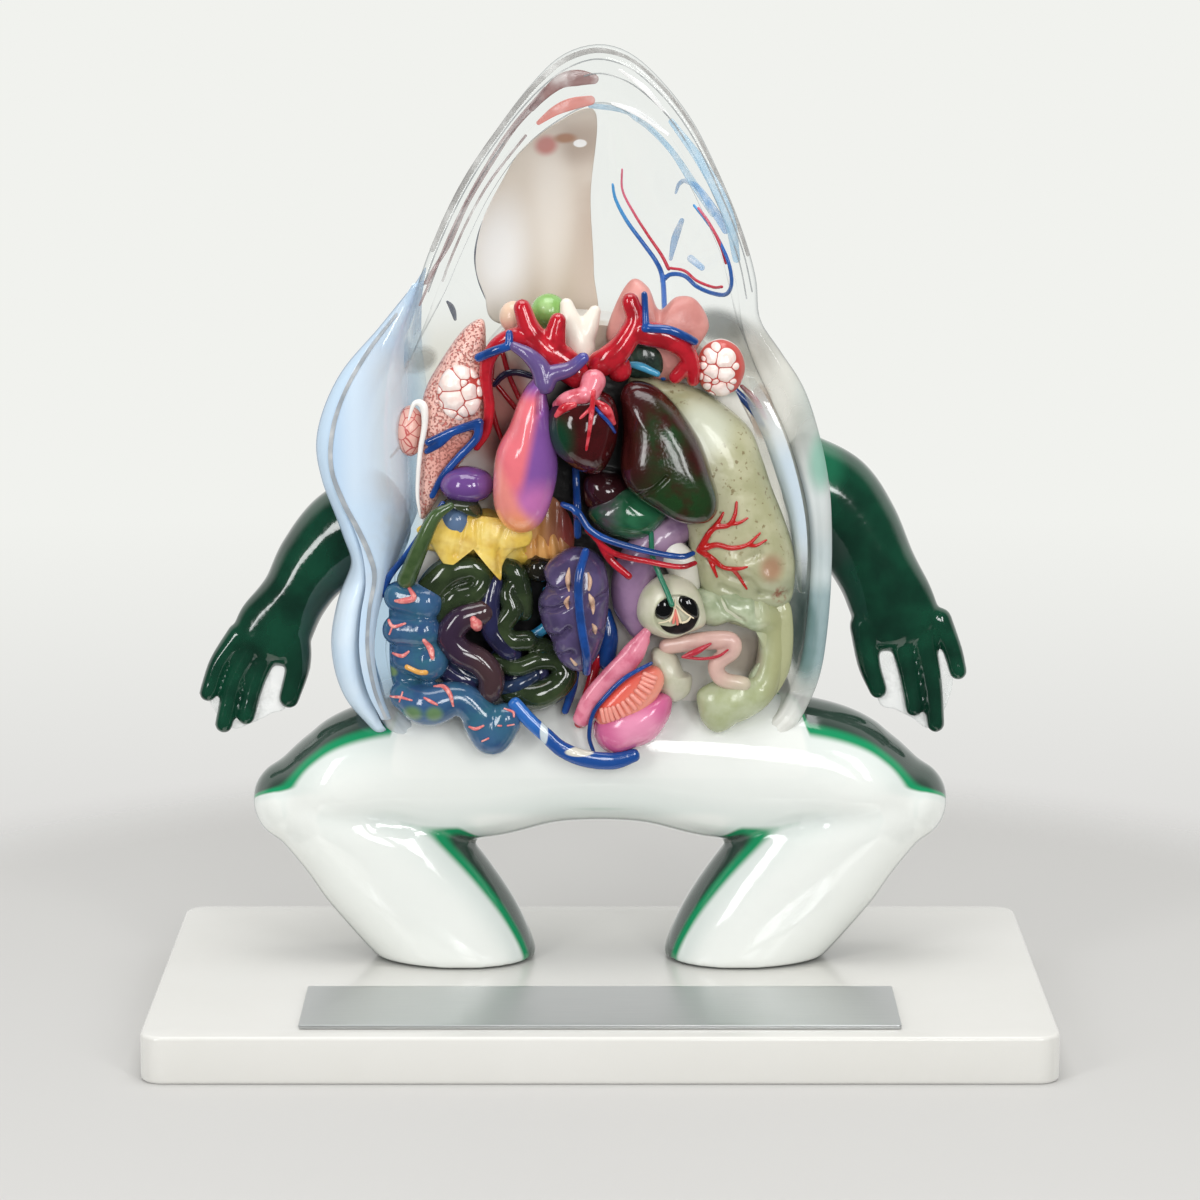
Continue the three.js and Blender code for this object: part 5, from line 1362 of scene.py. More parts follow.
# %% Vessels on the chest wall, and the white rib
wall_red = enamel("wall_artery_crimson_enamel", "#98131f", rough=0.2, coat=0.6, grain=1.5)
wall_blue = enamel("wall_vein_navy_enamel", "#141c3c", rough=0.2, coat=0.6, grain=1.5)
paths = [
    [[-33.6, 212, 0.9], [-34.4, 200, 0.9], [-33, 192, 0.9], [-31, 186, 0.7]],
    [[-30.4, 213, 0.8], [-28.4, 206, 0.8], [-25.4, 199, 0.8]], [[-33.4, 204.6, 0.7], [-29, 199, 0.8], [-25, 194, 0.8]]
]
laid("chest_wall_arteries", [bed], paths, 14, 3, wall_red, "artery_red", sink=0.1)
wall_vein = [[-33, 203.4, 0.9], [-30, 206.4, 1.1], [-26, 207.2, 1.1], [-20, 205.6, 1.0]]
laid("chest_wall_vein", [bed], [wall_vein], 14, 3, wall_blue, "vein_blue", sink=0.0)
rib_white = enamel("rib_white_enamel", "#f4f2ee", rough=0.2, coat=0.6, grain=2)
rib = [
    [-59.6, 193.6, 0.3], [-57.8, 198.6, 0.8], [-55, 198, 1.3], [-54.6, 192, 1.0], [-56, 184, 0.8], [-56.8, 176, 0.7],
    [-57, 169, 0.6], [-56.2, 163, 0.35]
]
strands("white_rib", [rib], 18, 8, rib_white, "bone_white", y=-5.4)
print("chest wall is dressed")


# %% Vessels painted on the inside of the head
def wall_path(points, radius, lift=0.0):
    """Points on the dish's inner wall, a radius in front of it."""
    p = np.array(points, float)
    r = np.broadcast_to(np.asarray(radius, float), len(p))
    return np.column_stack([p[:, 0], dish_wall(p[:, 0], p[:, 1]) - r - GAP - lift, p[:, 1], r]).tolist()


head_vein = [
    wall_path(
        [[4, 263], [5, 258], [8.6, 251], [14, 243.6], [18, 238], [20, 233]], [0.5, 0.6, 0.7, 0.75, 0.8, 0.9]
    ) + [[20.4, 24, 226, 0.95], [20.2, 8, 220, 1.0], [20, 3, 213, 1.1], [19.8, 1, 206, 1.1]],
    wall_path(
        [
            [20, 231.6], [22.6, 234], [27, 233.8], [31, 230.6], [36, 229], [40, 229.6], [41.4, 234], [40.2, 241],
            [36.6, 248.6], [33, 253.6], [29.6, 257.6]
        ],
        [0.8, 0.8, 0.75, 0.75, 0.75, 0.75, 0.7, 0.65, 0.6, 0.55, 0.5]
    )
]
head_artery = [
    wall_path(
        [[7, 268], [7.2, 261], [11, 253.4], [16, 245.6], [19.6, 240.4], [22, 235.8]],
        [0.4, 0.45, 0.5, 0.55, 0.6, 0.65], 0.3
    ),
    wall_path([[22.6, 236.2], [27, 235.6], [31, 232.6], [36, 231.2], [38.6, 231.8]], 0.55, 1.4),
    wall_path([[31, 257], [34.4, 252.4], [37.8, 246], [39.6, 240]], [0.5, 0.55, 0.6, 0.5], 1.0)
]
sky_vein = enamel(
    "vein_light_blue_enamel", "#2360b2", [("#4f9fdc", along_z(244, 256))], rough=0.3, coat=0.3, grain=1.5
)
rose_artery = enamel(
    "artery_rose_enamel", "#c52f45", [("#e0708a", along_z(246, 260))], rough=0.3, coat=0.3, grain=1.5
)
vessel("head_vein", head_vein, sky_vein, "vein_blue", 0.35)
vessel("head_artery", head_artery, rose_artery, "artery_red", 0.3)
print("head vessels are made")

# %% [markdown]
# ## Lungs, throat and head
# The lungs are pink and spongy: their pores are pressed in by the material, because each is well
# under a millimetre. Where the photograph shows a lung cut open, white bubbles stand on a red ground.

# %% Lungs
LUNG_LEFT = cushion(
    [
        [-36.5, 224], [-43, 220.5], [-51, 209], [-55, 201], [-56, 192], [-57, 178], [-57.5, 166], [-56, 161],
        [-52.5, 165], [-48, 173], [-42, 181], [-37, 187], [-35.5, 195], [-35, 205], [-35.5, 215]
    ],
    2, 8, 9, 2.6
)
ALVEOLI_LEFT = {**ball(-43.5, -4, 202, 7.2, 4.5, 8.8), "back": 5}
LUNG_LOBE = ball(-59.5, 2, 189, 4.6, 6, 8)
LUNG_RIGHT = cushion(
    [
        [2, 218], [5, 229], [10, 236.5], [15, 234], [18.5, 227], [24, 231], [30, 230], [34, 222], [30, 214],
        [28, 206], [18, 205], [8, 212]
    ],
    3, 7, 8
)
ALVEOLI_RIGHT = {**ball(37.5, -2, 209.5, 7.7, 6, 9), "back": 9}
spongy = enamel(
    "lung_pink_enamel", "#edbcb0",
    [
        ("#cc7269", ("grain", 0.8, 0.36, 0.12)), ("#cf7f78", along_y(2, 8)),
        ("#d8897c", ("spot", (-44, 0, 181), (9, 12, 10), 1.2))
    ],
    rough=0.32, coat=0.3, grain=0.9, lift=0.14, pores=("grain", 0.8, 0.36, 0.12)
)
soft_pink = speckled("lung_plain_pink_enamel", "#dd9c94", "#c9837c", (8, 0.5, 0.4), rough=0.4, coat=0.1, grain=1.2)
veined = enamel("lobe_veined_enamel", "#ecb9ac", [("#c65a58", ("cells", 3.2, 0.07))], rough=0.3, coat=0.3, grain=1.5)
cast("lung_left", pad(LUNG_LEFT, 140, 24), spongy, "lung_pink")
cast("lung_lobe_left", pad(LUNG_LOBE, 80, 16), veined, "lung_pink", name="lung_lobe")
cast("lung_right", pad(LUNG_RIGHT, 140, 24), soft_pink, "lung_pink")
foam_enamel = speckled(
    "alveoli_white_enamel", "#fbeee8", "#f3d9d0", (3, 0.4, 0.4), rough=0.22, coat=0.5, grain=1, lift=0.05
)
paint_by_attribute(foam_enamel, "crevice", "#c24a42", 0.25, 0.85)


def foam(node, egg, cells):
    """A lung cut open: the front of an egg swells into cells that press on each other. With d the
    distance to a cell's middle less its radius, and e the gap between the two least values of d, the
    surface rises with the square root of e and falls off outside every cell, and the paint is red
    where e is near 0."""
    rings = pad(egg, 300, 110)
    x, z = rings[..., 0], rings[..., 2]
    d = np.sort([np.hypot(x - cx, z - cz) - r for cx, cz, r in cells], axis=0)
    inside = np.clip((0.5 - d[0]) / 0.6, 0, 1)
    room = np.clip(d[1] - d[0], 0, 3) * inside
    front = np.clip((egg["y"] - rings[..., 1]) / 1.5, 0, 1)
    rings[..., 1] -= 0.75 * np.sqrt(room) * front
    crevice = (1 - np.clip(room / 0.55, 0, 1)) * front
    casting = cast(node, rings, foam_enamel, "alveoli")
    layer = casting.data.attributes.new("crevice", "FLOAT", "POINT")
    ends = [crevice[0].mean(), crevice[-1].mean()]
    layer.data.foreach_set("value", np.concatenate([crevice.ravel(), ends]).astype(np.float32))


foam(
    "alveoli_left", ALVEOLI_LEFT,
    [
        (-42.7, 209.1, 2.7), (-38.6, 209.2, 2.1), (-46.5, 205.5, 3.6), (-40.5, 202.5, 2.5), (-46, 200.3, 3.7),
        (-39.4, 197.9, 2.7), (-46.9, 195.4, 2.3), (-37.3, 202.7, 1.4), (-42.3, 196.6, 1.8), (-40.7, 211.2, 1.1),
        (-44.3, 193.8, 1.5), (-36.8, 205.4, 1.0), (-49.4, 198.8, 1.2), (-42.6, 205.6, 1.2), (-50, 203, 1.0)
    ]
)
foam(
    "alveoli_right", ALVEOLI_RIGHT,
    [
        (34.4, 213.7, 2.2), (38.9, 212.9, 2.9), (34.6, 208.9, 2.2), (39, 208.2, 2.5), (37.4, 203, 2.8),
        (32.3, 210.6, 1.0), (33.3, 206.8, 1.3), (35.9, 216.1, 1.3), (32.6, 213, 0.9), (31.4, 207.2, 0.9),
        (33.4, 204.2, 1.0), (41.1, 205.8, 0.9), (36, 205.6, 1.0), (40.2, 204.2, 1.2), (41.9, 210.6, 0.9),
        (35.2, 201.4, 1.2)
    ]
)

print("lungs are made")

# %% Throat
HYOID = [
    [[-10.4, -1, 229, 2.2], [-9, -2, 223.5, 3.6], [-6.5, -2, 217.5, 4.8], [-5.6, -2, 211, 4.4]],
    [[-1.6, -1, 227, 2], [-3.6, -1.6, 222.6, 3.4], [-6, -2, 218, 4.4]]
]
LARYNX = ball(-16, 3, 226.5, 5.6)
THYROID = ball(-27, 1, 225, 4.4, 5, 5)
bone = enamel("bone_ivory_enamel", "#efe7da", [("#dccdb8", along_z(216, 209))], rough=0.3, coat=0.3)
leaf_light = enamel(
    "larynx_green_enamel", "#87b662", [("#a9d08a", ("spot", (-17, -3, 229), (2, 4, 2), 1))], rough=0.25
)
peach = enamel("thyroid_peach_enamel", "#f0cdb2", [("#e6a89a", along_z(226, 220))], rough=0.3)
vessel("hyoid", HYOID, bone, "bone_white", 0.5, rounds=8)
cast("larynx", pad(LARYNX, 80, 18), leaf_light, "larynx_green")
cast("thyroid", pad(THYROID, 80, 18), peach, "peach")
print("throat is made")

# %% [markdown]
# ## Belly organs
# The stomach is a broad sage-green casting with lumps along its lower edge and a red artery tree laid
# on it. The gut is long soft rolls in several dark enamels.

# %% Stomach and omentum
STOMACH = cushion(
    [
        [9, 205], [20, 205], [30, 202.5], [39, 197], [47, 189.5], [51, 180], [54, 171], [58, 161], [61, 151],
        [61.5, 141], [59, 133], [50, 131], [41, 132], [33, 136], [29, 147], [26, 160], [19, 172], [11, 185]
    ],
    3, 14, 8, 2.4
)
OMENTUM = [
    [
        [34, 0, 133, 4.5], [41, -2, 134, 5.6], [50, -1, 131, 5.6], [54.5, 1, 127, 5], [54, 0, 116, 4.6],
        [51, -1, 107, 5], [44, -3, 103, 6], [37, -3, 100.5, 5]
    ]
]
sage = enamel(
    "stomach_sage_enamel", "#bdbb9a",
    [
        ("#aaa984", ("grain", 9, 0.5, 0.3)), ("#a9ad8d", along_z(152, 134)),
        ("#8f5a45", [("spot", (56.6, -6, 138), (2.2, 20, 2.6), 1.0), ("grain", 1.4, 0.5, 0.3)]),
        ("#a58266", ("spot", (53.6, -6, 147), (3.4, 20, 4), 1.2)),
        ("#8b7f5c", [("grain", 1.6, 0.16, 0.08), along_z(140, 160)]),
        # the pale spot at the upper left is a painted sheen
        ("#cfd2bd", ("spot", (33, -10, 192), (8, 12, 9), 1))
    ],
    rough=0.3, coat=0.35, grain=4, lift=0.25
)
folds = [
    [[34, 150.5], [41, 144.6], [47, 143], [50, 138.6]], [[50, 152], [45, 149.6]],
    [[50, 138.6], [56, 137.6], [60, 138]], [[38, 141], [43, 138.6]]
]
stomach_rings = press(pad(STOMACH, 180, 46), folds, 1.1, 1.6, 0)
stomach_rings = press(stomach_rings, [[[41, 150], [45, 148]], [[53, 144], [57, 143]]], 2.4, -1.4, 0)
stomach = cast("stomach", stomach_rings, sage, "stomach_sage")
stomach_tree = tree_of(stomach)
branches = [
    [[31, 153, 1.15], [35, 160, 0.95], [40, 161.3, 0.8], [42, 164.5, 0.7], [42.5, 168.5, 0.45]],
    [[35, 160, 0.9], [37, 162.6, 0.7], [38.4, 165.2, 0.45]], [[40.4, 161.6, 0.7], [43.4, 162, 0.6], [46, 163.4, 0.4]],
    [[31, 153, 1.15], [36, 155, 0.95], [41, 154, 0.85], [46, 155, 0.7], [50, 158.5, 0.4]],
    [[46, 155, 0.7], [48.6, 154.6, 0.6], [52, 156.2, 0.4]],
    [[31, 153, 1.15], [35, 150.5, 0.95], [38.6, 147.6, 0.85], [43, 147.4, 0.7], [46, 148, 0.4]],
    [[34, 151, 0.9], [35.4, 147.4, 0.7], [36.6, 144.4, 0.45]],
    [[41.6, 147.2, 0.8], [44, 143.6, 0.6], [46, 140.4, 0.4]]
]
bright_red = enamel("artery_bright_red_enamel", "#b81d1c", rough=0.2, grain=1)
skins = tubes_on(stomach_tree, branches, 16, 3, sink=0.2, step=1.0)
fused("stomach_artery_tree", skins, bright_red, voxel=0.3, rounds=3, slot="artery_red", replaces=["stomach_arteries"])
olive = enamel(
    "omentum_olive_enamel", "#b9c09f",
    [
        ("#a5ad82", ("grain", 8, 0.5, 0.3)), ("#c9cbb4", ("spot", (40, -8, 133), (9, 12, 4), 1.0)),
        ("#a3a57a", along_x(50, 56)), ("#a99c8c", ("spot", (46, 0, 117), (5, 12, 6), 0.8))
    ],
    rough=0.26, coat=0.45, grain=4, lift=0.25
)
upper_lump = cushion(
    [[29, 139], [36, 139.6], [44, 138.6], [52, 136], [55, 129], [49, 126], [42, 129], [35, 127.6], [29.6, 131]], -3,
    5.5, 6
)
side_sheet = cushion(
    [[46, 133], [58, 136], [61, 128], [60, 113], [54, 103], [47, 101], [46.6, 110], [50.6, 118], [49, 126]], 0, 3.4,
    4, 3
)
lower_leaf = cushion(
    [[31, 107], [39, 111], [47, 111], [50, 106], [46, 99], [38, 93.4], [33, 96], [31, 101]], -4, 6, 8
)
fused(
    "omentum_casting", [tube(p, 32, 12) for p in OMENTUM] + [pad(lower_leaf, 80, 16)], olive, voxel=0.6, rounds=8,
    slot="leaf_green", replaces=["omentum"]
)
lump_tone = enamel(
    "omentum_pale_enamel", "#bac3a6", [("#98a584", ("grain", 7, 0.45, 0.3)), ("#aeb088", along_x(48, 54))],
    rough=0.24, coat=0.5, grain=3, lift=0.25
)
lump_rings = press(
    pad(upper_lump, 120, 30), [[[37, 139], [39.6, 133.6], [45, 130]], [[49, 137], [49.6, 131]]], 0.9, 1.4, 0
)
made("omentum_lumps", [lump_rings, pad(side_sheet, 120, 20)], lump_tone, slot="leaf_green")
print("stomach and omentum are made")

# %% Gall bladder, small lobe, duodenum
GALLBLADDER = cushion(
    [[9, 172], [20.5, 165], [18.5, 159.5], [14, 156], [8, 155.8], [1, 158], [-4, 164], [1, 169]], -4, 8, 8
)
LIVER_SMALL = cushion([[-5.5, 174.5], [0, 177], [9, 174], [9.5, 167], [4, 164], [-4.5, 165.5]], -1, 8, 8)
DUODENUM = [[[25, 0, 159.5, 5.5], [18, -2, 154.5, 6.5], [11.5, -2, 146, 7], [10, -2, 136, 6.5], [13, -2, 128, 5]]]
gall = enamel(
    "gallbladder_green_enamel", "#2c6a49",
    [("#5c4657", ("along", (9, 0, 160), (-1, 0, 162))), ("#1e5236", ("grain", 6, 0.4, 0.3))], rough=0.12, coat=0.8
)
dark_lobe = enamel("small_lobe_maroon_enamel", "#33161a", rough=0.12, coat=0.8)
lilac = enamel(
    "duodenum_lilac_enamel", "#9a7a9c", [("#b79bb6", along_z(150, 160)), ("#876a8c", ("grain", 8, 0.5, 0.3))],
    rough=0.2, coat=0.5, grain=5
)
cast("gallbladder", pad(GALLBLADDER, 100, 20), gall, "gall_green")
cast("liver_small_lobe", pad(LIVER_SMALL, 100, 20), dark_lobe, "liver_brown")
vessel("duodenum", DUODENUM, lilac, "duct_lilac", 0.6)
pearl = enamel("pearl_white_enamel", "#dcd9cd", [("#f4f2ea", along_z(146, 150))], rough=0.25, coat=0.5)
strands(
    "white_cylinder", [[[21.6, -3, 152, 4.6], [25.6, -3.4, 147.6, 5], [27, -2, 141.4, 4.8]]], 32, 10, pearl, "cream"
)
print("gall bladder, small lobe and duodenum are made")

# %% Testes, spleen and the blue-grey ball
TESTIS_RIGHT = cushion(
    [
        [14, 141], [19, 144.6], [25, 144.4], [30, 141], [32.6, 135], [33, 129], [28, 126.4], [22, 124.5],
        [15.5, 126.5], [11.8, 131], [11.8, 136.5]
    ],
    -7, 8, 8
)
SPLEEN = ball(-41.5, -5, 173, 8.6, 8, 6)
TESTIS_LEFT = ball(-45, -6, 162, 5.5)
GREEN_GLAND = [[-46.5, -12, 167.5, 1.2], [-51.5, -13, 164, 2.1], [-56, -12.4, 154.5, 2.6], [-60.6, -8, 143.5, 3]]
WINDOW_X, WINDOW_Z, WINDOW_WIDE, WINDOW_HIGH = 24.0, 133.0, 6.9, 6.4
WINDOW_DEPTH, WINDOW_FLOOR = 2.0, -11.2
pale_clay = speckled("testis_cream_enamel", "#cfccb8", "#bfc0a4", (7, 0.5, 0.3), rough=0.3, coat=0.35, grain=3)
testis_rings = pad(TESTIS_RIGHT, 180, 46)
across, up = testis_rings[..., 0] - WINDOW_X, testis_rings[..., 2] - WINDOW_Z
hole = np.hypot(across / WINDOW_WIDE, up / WINDOW_HIGH)
testis_rings[..., 1] += WINDOW_DEPTH * np.clip((1.06 - hole) / 0.12, 0, 1) * (testis_rings[..., 1] < -8)
cast("testis_right", testis_rings, pale_clay, "cream")
jet = enamel("black_gloss_enamel", "#0c0b0b", rough=0.08, coat=1.0, grain=2, lift=0.05)
soot = speckled("brown_black_enamel", "#2a2020", "#191414", (1.5, 0.5, 0.3), rough=0.3, coat=0.4, grain=1.2)
window_floor = ball(WINDOW_X, WINDOW_FLOOR, WINDOW_Z, WINDOW_WIDE, 0.8, WINDOW_HIGH)
made("testis_window_floor", [pad(window_floor, 64, 8, back=None)], soot, slot="cream")
lobe_left = pad(ball(19.9, WINDOW_FLOOR - 0.4, 135.2, 3.7, 2.4, 4.0), 48, 14, back=None)
lobe_right = cushion(
    [[24, 137.4], [25.6, 139.2], [28.4, 138.8], [30.6, 135.8], [30.6, 132.2], [28.4, 132.2], [25.6, 134.6]],
    WINDOW_FLOOR - 0.3, 1.9, 1
)
made("testis_window_lobes", [lobe_left, pad(lobe_right, 64, 12, back=None)], jet, slot="cream")
fan_y = WINDOW_FLOOR - 2.2
cream_line = enamel("fan_cream_enamel", "#e8d9ba", rough=0.3, coat=0.3, grain=1)
strokes = [
    [[23.5, 138.2, 0.18], [23.3, 135.2, 0.22], [21.6, 131.6, 0.22], [18.4, 130.6, 0.18]],
    [[23.8, 136.4, 0.2], [26.6, 133.9, 0.28], [29.2, 132.2, 0.2]],
    [[23.4, 135.4, 0.2], [22.8, 133.2, 0.42], [21.8, 131.2, 0.42]],
    [[23.7, 135.4, 0.2], [24.5, 133, 0.36], [25.2, 130.9, 0.42]],
    [[28.2, 132.4, 0.3], [27.2, 131.2, 0.34], [25.8, 130.7, 0.3]]
]
strands("testis_window_fan", strokes, 12, 6, cream_line, "cream", y=fan_y)
fan_pink = enamel("fan_salmon_enamel", "#e07f70", rough=0.3, coat=0.3, grain=1)
strokes = [
    [[23.5, 135.0, 0.2], [23.3, 132.8, 0.42], [22.9, 130.7, 0.42]],
    [[23.6, 134.8, 0.2], [24.0, 132.4, 0.4], [24.2, 130.3, 0.4]]
]
strands("testis_window_fan_stripes", strokes, 12, 6, fan_pink, "organ_pink", y=fan_y - 0.2)
purple = enamel("spleen_purple_enamel", "#6b4789", [("#58397a", along_z(174, 167))], rough=0.12, coat=0.8)
slate = enamel("blue_grey_enamel", "#5d7596", rough=0.18, coat=0.6)
lens = enamel("lens_dark_green_enamel", "#333b26", rough=0.12, coat=0.8)
leaf = speckled("leaf_green_enamel", "#465c36", "#39502c", (4, 0.4, 0.3), rough=0.22, coat=0.5, grain=2.5)
cast("spleen", pad(SPLEEN, 96, 20), purple, "spleen_purple")
cast("testis_left", pad(TESTIS_LEFT, 96, 20), slate, "grey_blue")
cap = cushion([[-49, 168], [-44, 169.4], [-38.6, 168.2], [-36.6, 164.6], [-38, 162.8], [-43, 165]], -7, 6, 6)
made("green_lens_cap", [pad(cap, 80, 16)], lens, slot="leaf_green")
cast("green_gland", tube(GREEN_GLAND, 28, 12), leaf, "leaf_green")
strands(
    "gland_vein",
    [[[-49, -10, 168, 0.8], [-54, -10, 161, 0.9], [-60, -7.6, 152, 1.0], [-66, -5, 144, 1.1], [-68.4, -4, 138, 1.2]]],
    16, 10, vein_enamel, "vein_blue"
)
print("glands are made")

# %% Fat body and pancreas
FAT_BODY = cushion(
    [
        [-55, 152], [-48, 156], [-42, 162], [-37, 164.5], [-31, 163], [-28, 158], [-22, 156], [-16, 151], [-22, 147],
        [-28.5, 146], [-31, 141.5], [-34.5, 147.5], [-41, 148], [-46, 145], [-49, 149.5]
    ],
    1, 7, 8
)
PANCREAS = cushion(
    [[-28, 154], [-20, 158.5], [-12, 158.5], [-8.4, 153.5], [-10, 147.5], [-18, 146], [-26, 148.5]], 1, 6, 7
)
fat = enamel(
    "fat_yellow_enamel", "#e6c455", [("#caa03e", ("grain", 5, 0.35, 0.3)), ("#f3dc86", ("grain", 9, 0.35, 0.3))],
    rough=0.3, coat=0.3, grain=3, lift=0.35
)
fat_folds = [
    [[-50, 154], [-44, 157.5], [-38, 159], [-33, 157.6]], [[-47, 150.4], [-41, 153.4], [-35, 155.6]],
    [[-31, 159], [-26, 155.6], [-24, 151]], [[-40, 150], [-36, 151.6], [-33, 150.6]]
]
fat_rings = press(pad(FAT_BODY, 200, 40), fat_folds, 0.8, 1.3, 0)
cast("fat_body", fat_rings, fat, "fat_yellow")
diamond = cushion([[-38.4, 153.6], [-35.4, 156.6], [-33.4, 156.2], [-34.6, 150.6], [-36, 148.4]], -6.2, 1.0, 1.0, 3)
deep_purple = enamel("pocket_purple_enamel", "#2b2142", rough=0.25, coat=0.3)
made("fat_body_pocket", [pad(diamond, 60, 8, back=None)], deep_purple, slot="gut_navy")
ridged = enamel("pancreas_orange_enamel", "#dca35e", [("#9a6445", along_x(-17, -9))], rough=0.3, coat=0.3, grain=2.5)
ridges = [
    [[-24, 157], [-24.6, 149]], [[-20.6, 158], [-20, 147.6]], [[-17, 158.4], [-15.4, 148]],
    [[-13.8, 158], [-12.2, 149]]
]
cast("pancreas", press(pad(PANCREAS, 160, 36), ridges, 0.7, 1.4, 2), ridged, "pancreas_orange")
print("fat body and pancreas are made")

# %% Small and large intestine
SMALL_GREEN = [
    [
        [-53, -3, 130, 4.2], [-53.5, -5, 138, 5], [-48, -6, 145, 5.2], [-40.5, -6, 147, 4.4], [-36.6, -6, 143.6, 3.8],
        [-39.5, -7, 139, 3.8], [-46, -7, 136.8, 4], [-50, -5, 131, 3.8]
    ],
    [[-31, -3, 147.5, 3.4], [-26.5, -4, 144.5, 3.7], [-24.5, -4, 138, 3.4], [-24, -3, 132, 3]],
    [
        [-26, -3, 143, 3], [-29, -6, 138.5, 3], [-27.5, -7, 133.5, 3.3], [-30.5, -7, 128.5, 3.3],
        [-28.4, -7, 124, 3.3], [-22.8, -6, 123.5, 3.3]
    ],
    [
        [-33, -5, 116.5, 2.8], [-26, -6, 115, 3], [-19.5, -5, 116.8, 3], [-13.5, -3, 116, 3.4], [-11, -3, 112, 4],
        [-14.5, -4, 107.8, 4.5], [-21, -5, 105.5, 4.7], [-28, -4, 106.5, 4]
    ],
    [[-22.8, -4, 123, 3], [-16.5, -1, 120, 3], [-13.5, -2, 116, 3.2]],
    [[-37, -4, 143, 3.4], [-31, -1, 144.5, 3.4], [-28, -2, 144, 3.4]]
]
SMALL_BROWN = [
    [
        [-37, -8, 133, 4.2], [-43.5, -9, 131, 4.4], [-47, -9, 125.6, 4.5], [-43.8, -9, 120.6, 4.5],
        [-38, -9, 117.5, 4.4], [-34.4, -9, 113, 4.3], [-34.6, -8, 108, 4], [-37.5, -6, 105, 3.2]
    ]
]
SMALL_NAVY = [
    [[-33.4, -6, 142, 3], [-34.8, -7, 135, 3.5], [-34, -7, 127.5, 3.6], [-30, -7, 121.8, 3.4], [-27.5, -5, 119, 3]],
    [[-50.5, -4, 117.5, 3.6], [-47, -5, 113, 4], [-41.5, -5, 110.5, 4], [-38, -2, 113, 3.4]],
    [[-31, -2, 109, 3.5], [-25, -4, 110.4, 3.5], [-19, -3, 112.5, 3]],
    [[-38, -1, 113, 3.2], [-33, 2, 116, 3.2], [-30, 1, 119.6, 3.4]],
    [[-33, 2, 116, 3.2], [-30.5, 1, 112, 3.2], [-30, -1, 109.5, 3.4]]
]
CAECUM = ball(-19.2, -2, 146, 4.9, 5, 4.6)
LARGE_INTESTINE = [
    [[-62, -3, 138, 4.6], [-61.5, -3, 126, 5], [-61, -3, 113, 5.2], [-58, -4, 103, 5.4]],
    [[-63, -5, 137.5, 5], [-55, -7, 136, 6]], [[-63.5, -6, 127, 5], [-55.5, -8, 127, 5.8]],
    [[-61, -6, 118.5, 5], [-54, -8, 117.5, 6.6]],
    [[-61, -6, 106, 5.4], [-54, -9, 103.5, 6.8], [-44, -9, 105.5, 5.4], [-37, -9, 99.5, 5.6]],
    [[-37.5, -9, 98, 5.8], [-34, -9, 93, 5.8], [-30, -9, 98.5, 5.6]]
]
gut_green = speckled("gut_dark_green_enamel", "#27331f", "#39472c", (9, 0.4, 0.3), rough=0.1, coat=0.9, grain=3)
gut_brown = enamel("gut_brown_enamel", "#463236", [("#35263a", along_x(-36, -46))], rough=0.12, coat=0.8, grain=3)
gut_navy = speckled("gut_navy_enamel", "#28284a", "#1c1c34", (9, 0.4, 0.3), rough=0.11, coat=0.9, grain=3)
gut_black = enamel("caecum_dark_enamel", "#1f1d15", rough=0.1, coat=0.9, grain=3)
gut_blue = enamel(
    "gut_blue_enamel", "#3c5f87",
    [
        ("#33697a", ("grain", 12, 0.45, 0.3)), ("#31507a", ("grain", 6, 0.35, 0.3)),
        ("#8f9a4c", ("spot", (-71, -4, 121), (2.4, 9, 1.5), 0.5)),
        ("#7d8f52", ("spot", (-69.4, -4, 117.4), (2.6, 9, 1.3), 0.6)),
        ("#6f8a58", ("spot", (-66, -6, 113.6), (2.2, 9, 1.6), 0.7)),
        ("#66855c", ("spot", (-58.4, -10, 102), (3.2, 9, 2.4), 0.8)),
        ("#66855c", ("spot", (-52, -12, 102), (2.8, 9, 2.4), 0.8))
    ],
    rough=0.13, coat=0.8, grain=3.5, lift=0.2
)
small_gut = {}
for colour, paths, material in (
    ("green", SMALL_GREEN, gut_green), ("brown", SMALL_BROWN, gut_brown), ("navy", SMALL_NAVY, gut_navy)
):
    small_gut[colour] = vessel("small_intestine_" + colour, paths, material, "gut_" + colour, 0.5, 32, 12, rounds=3)
cast("caecum", pad(CAECUM, 80, 18), gut_black, "gut_green")
blue_gut = vessel("large_intestine", LARGE_INTESTINE, gut_blue, "gut_blue", 0.55, 32, 12, rounds=3)

# %% [markdown]
# ## Small fills and marks
# Where castings leave a gap, it is filled with a small lump, fold or roll of a bright colour. Above the liver, a dark
# green pad is painted shade, and light blue lines on it are painted highlights. The large intestine has raised marks,
# laid on it by rays like the stomach's arteries.

# %% Painted shade above the liver, and stripes on the right shoulder
# a dark green pad painted as the shade above the liver
painted_shade_green = speckled("painted_shade_dark_green_enamel", "#33473a", "#1f2b26", (4, 0.5, 0.3), rough=0.2, coat=0.5, grain=2)
painted_shade_pad = cushion(
    [[6.6, 214], [10, 217], [15, 217.6], [19, 214], [19.2, 208], [14, 206.4], [8, 207.4]], -3, 2.2, 3
)
made("green_painted_shade", [pad(painted_shade_pad, 80, 14)], painted_shade_green, slot="leaf_green")
# light blue lines on the pad are painted highlights
painted_highlight_lines = [
    [[8.8, -5.2, 211, 0.8], [12.4, -5.6, 210.4, 1.3], [17.8, -5.4, 208, 1.0]],
    [[5.8, -5, 212.4, 0.5], [7.2, -5.2, 208.8, 0.6]]
]
painted_highlight_blue = enamel("painted_highlight_blue_enamel", "#4a9fc6", rough=0.2, coat=0.5, grain=2)
strands("painted_highlight_blue_lines", painted_highlight_lines, 18, 8, painted_highlight_blue, "gut_blue")
strands(
    "shoulder_vein", [[[41.4, 9, 202, 1.0], [47, 9, 196, 1.3], [51.4, 10, 189.6, 0.8]]], 18, 10, vein_enamel,
    "vein_blue"
)
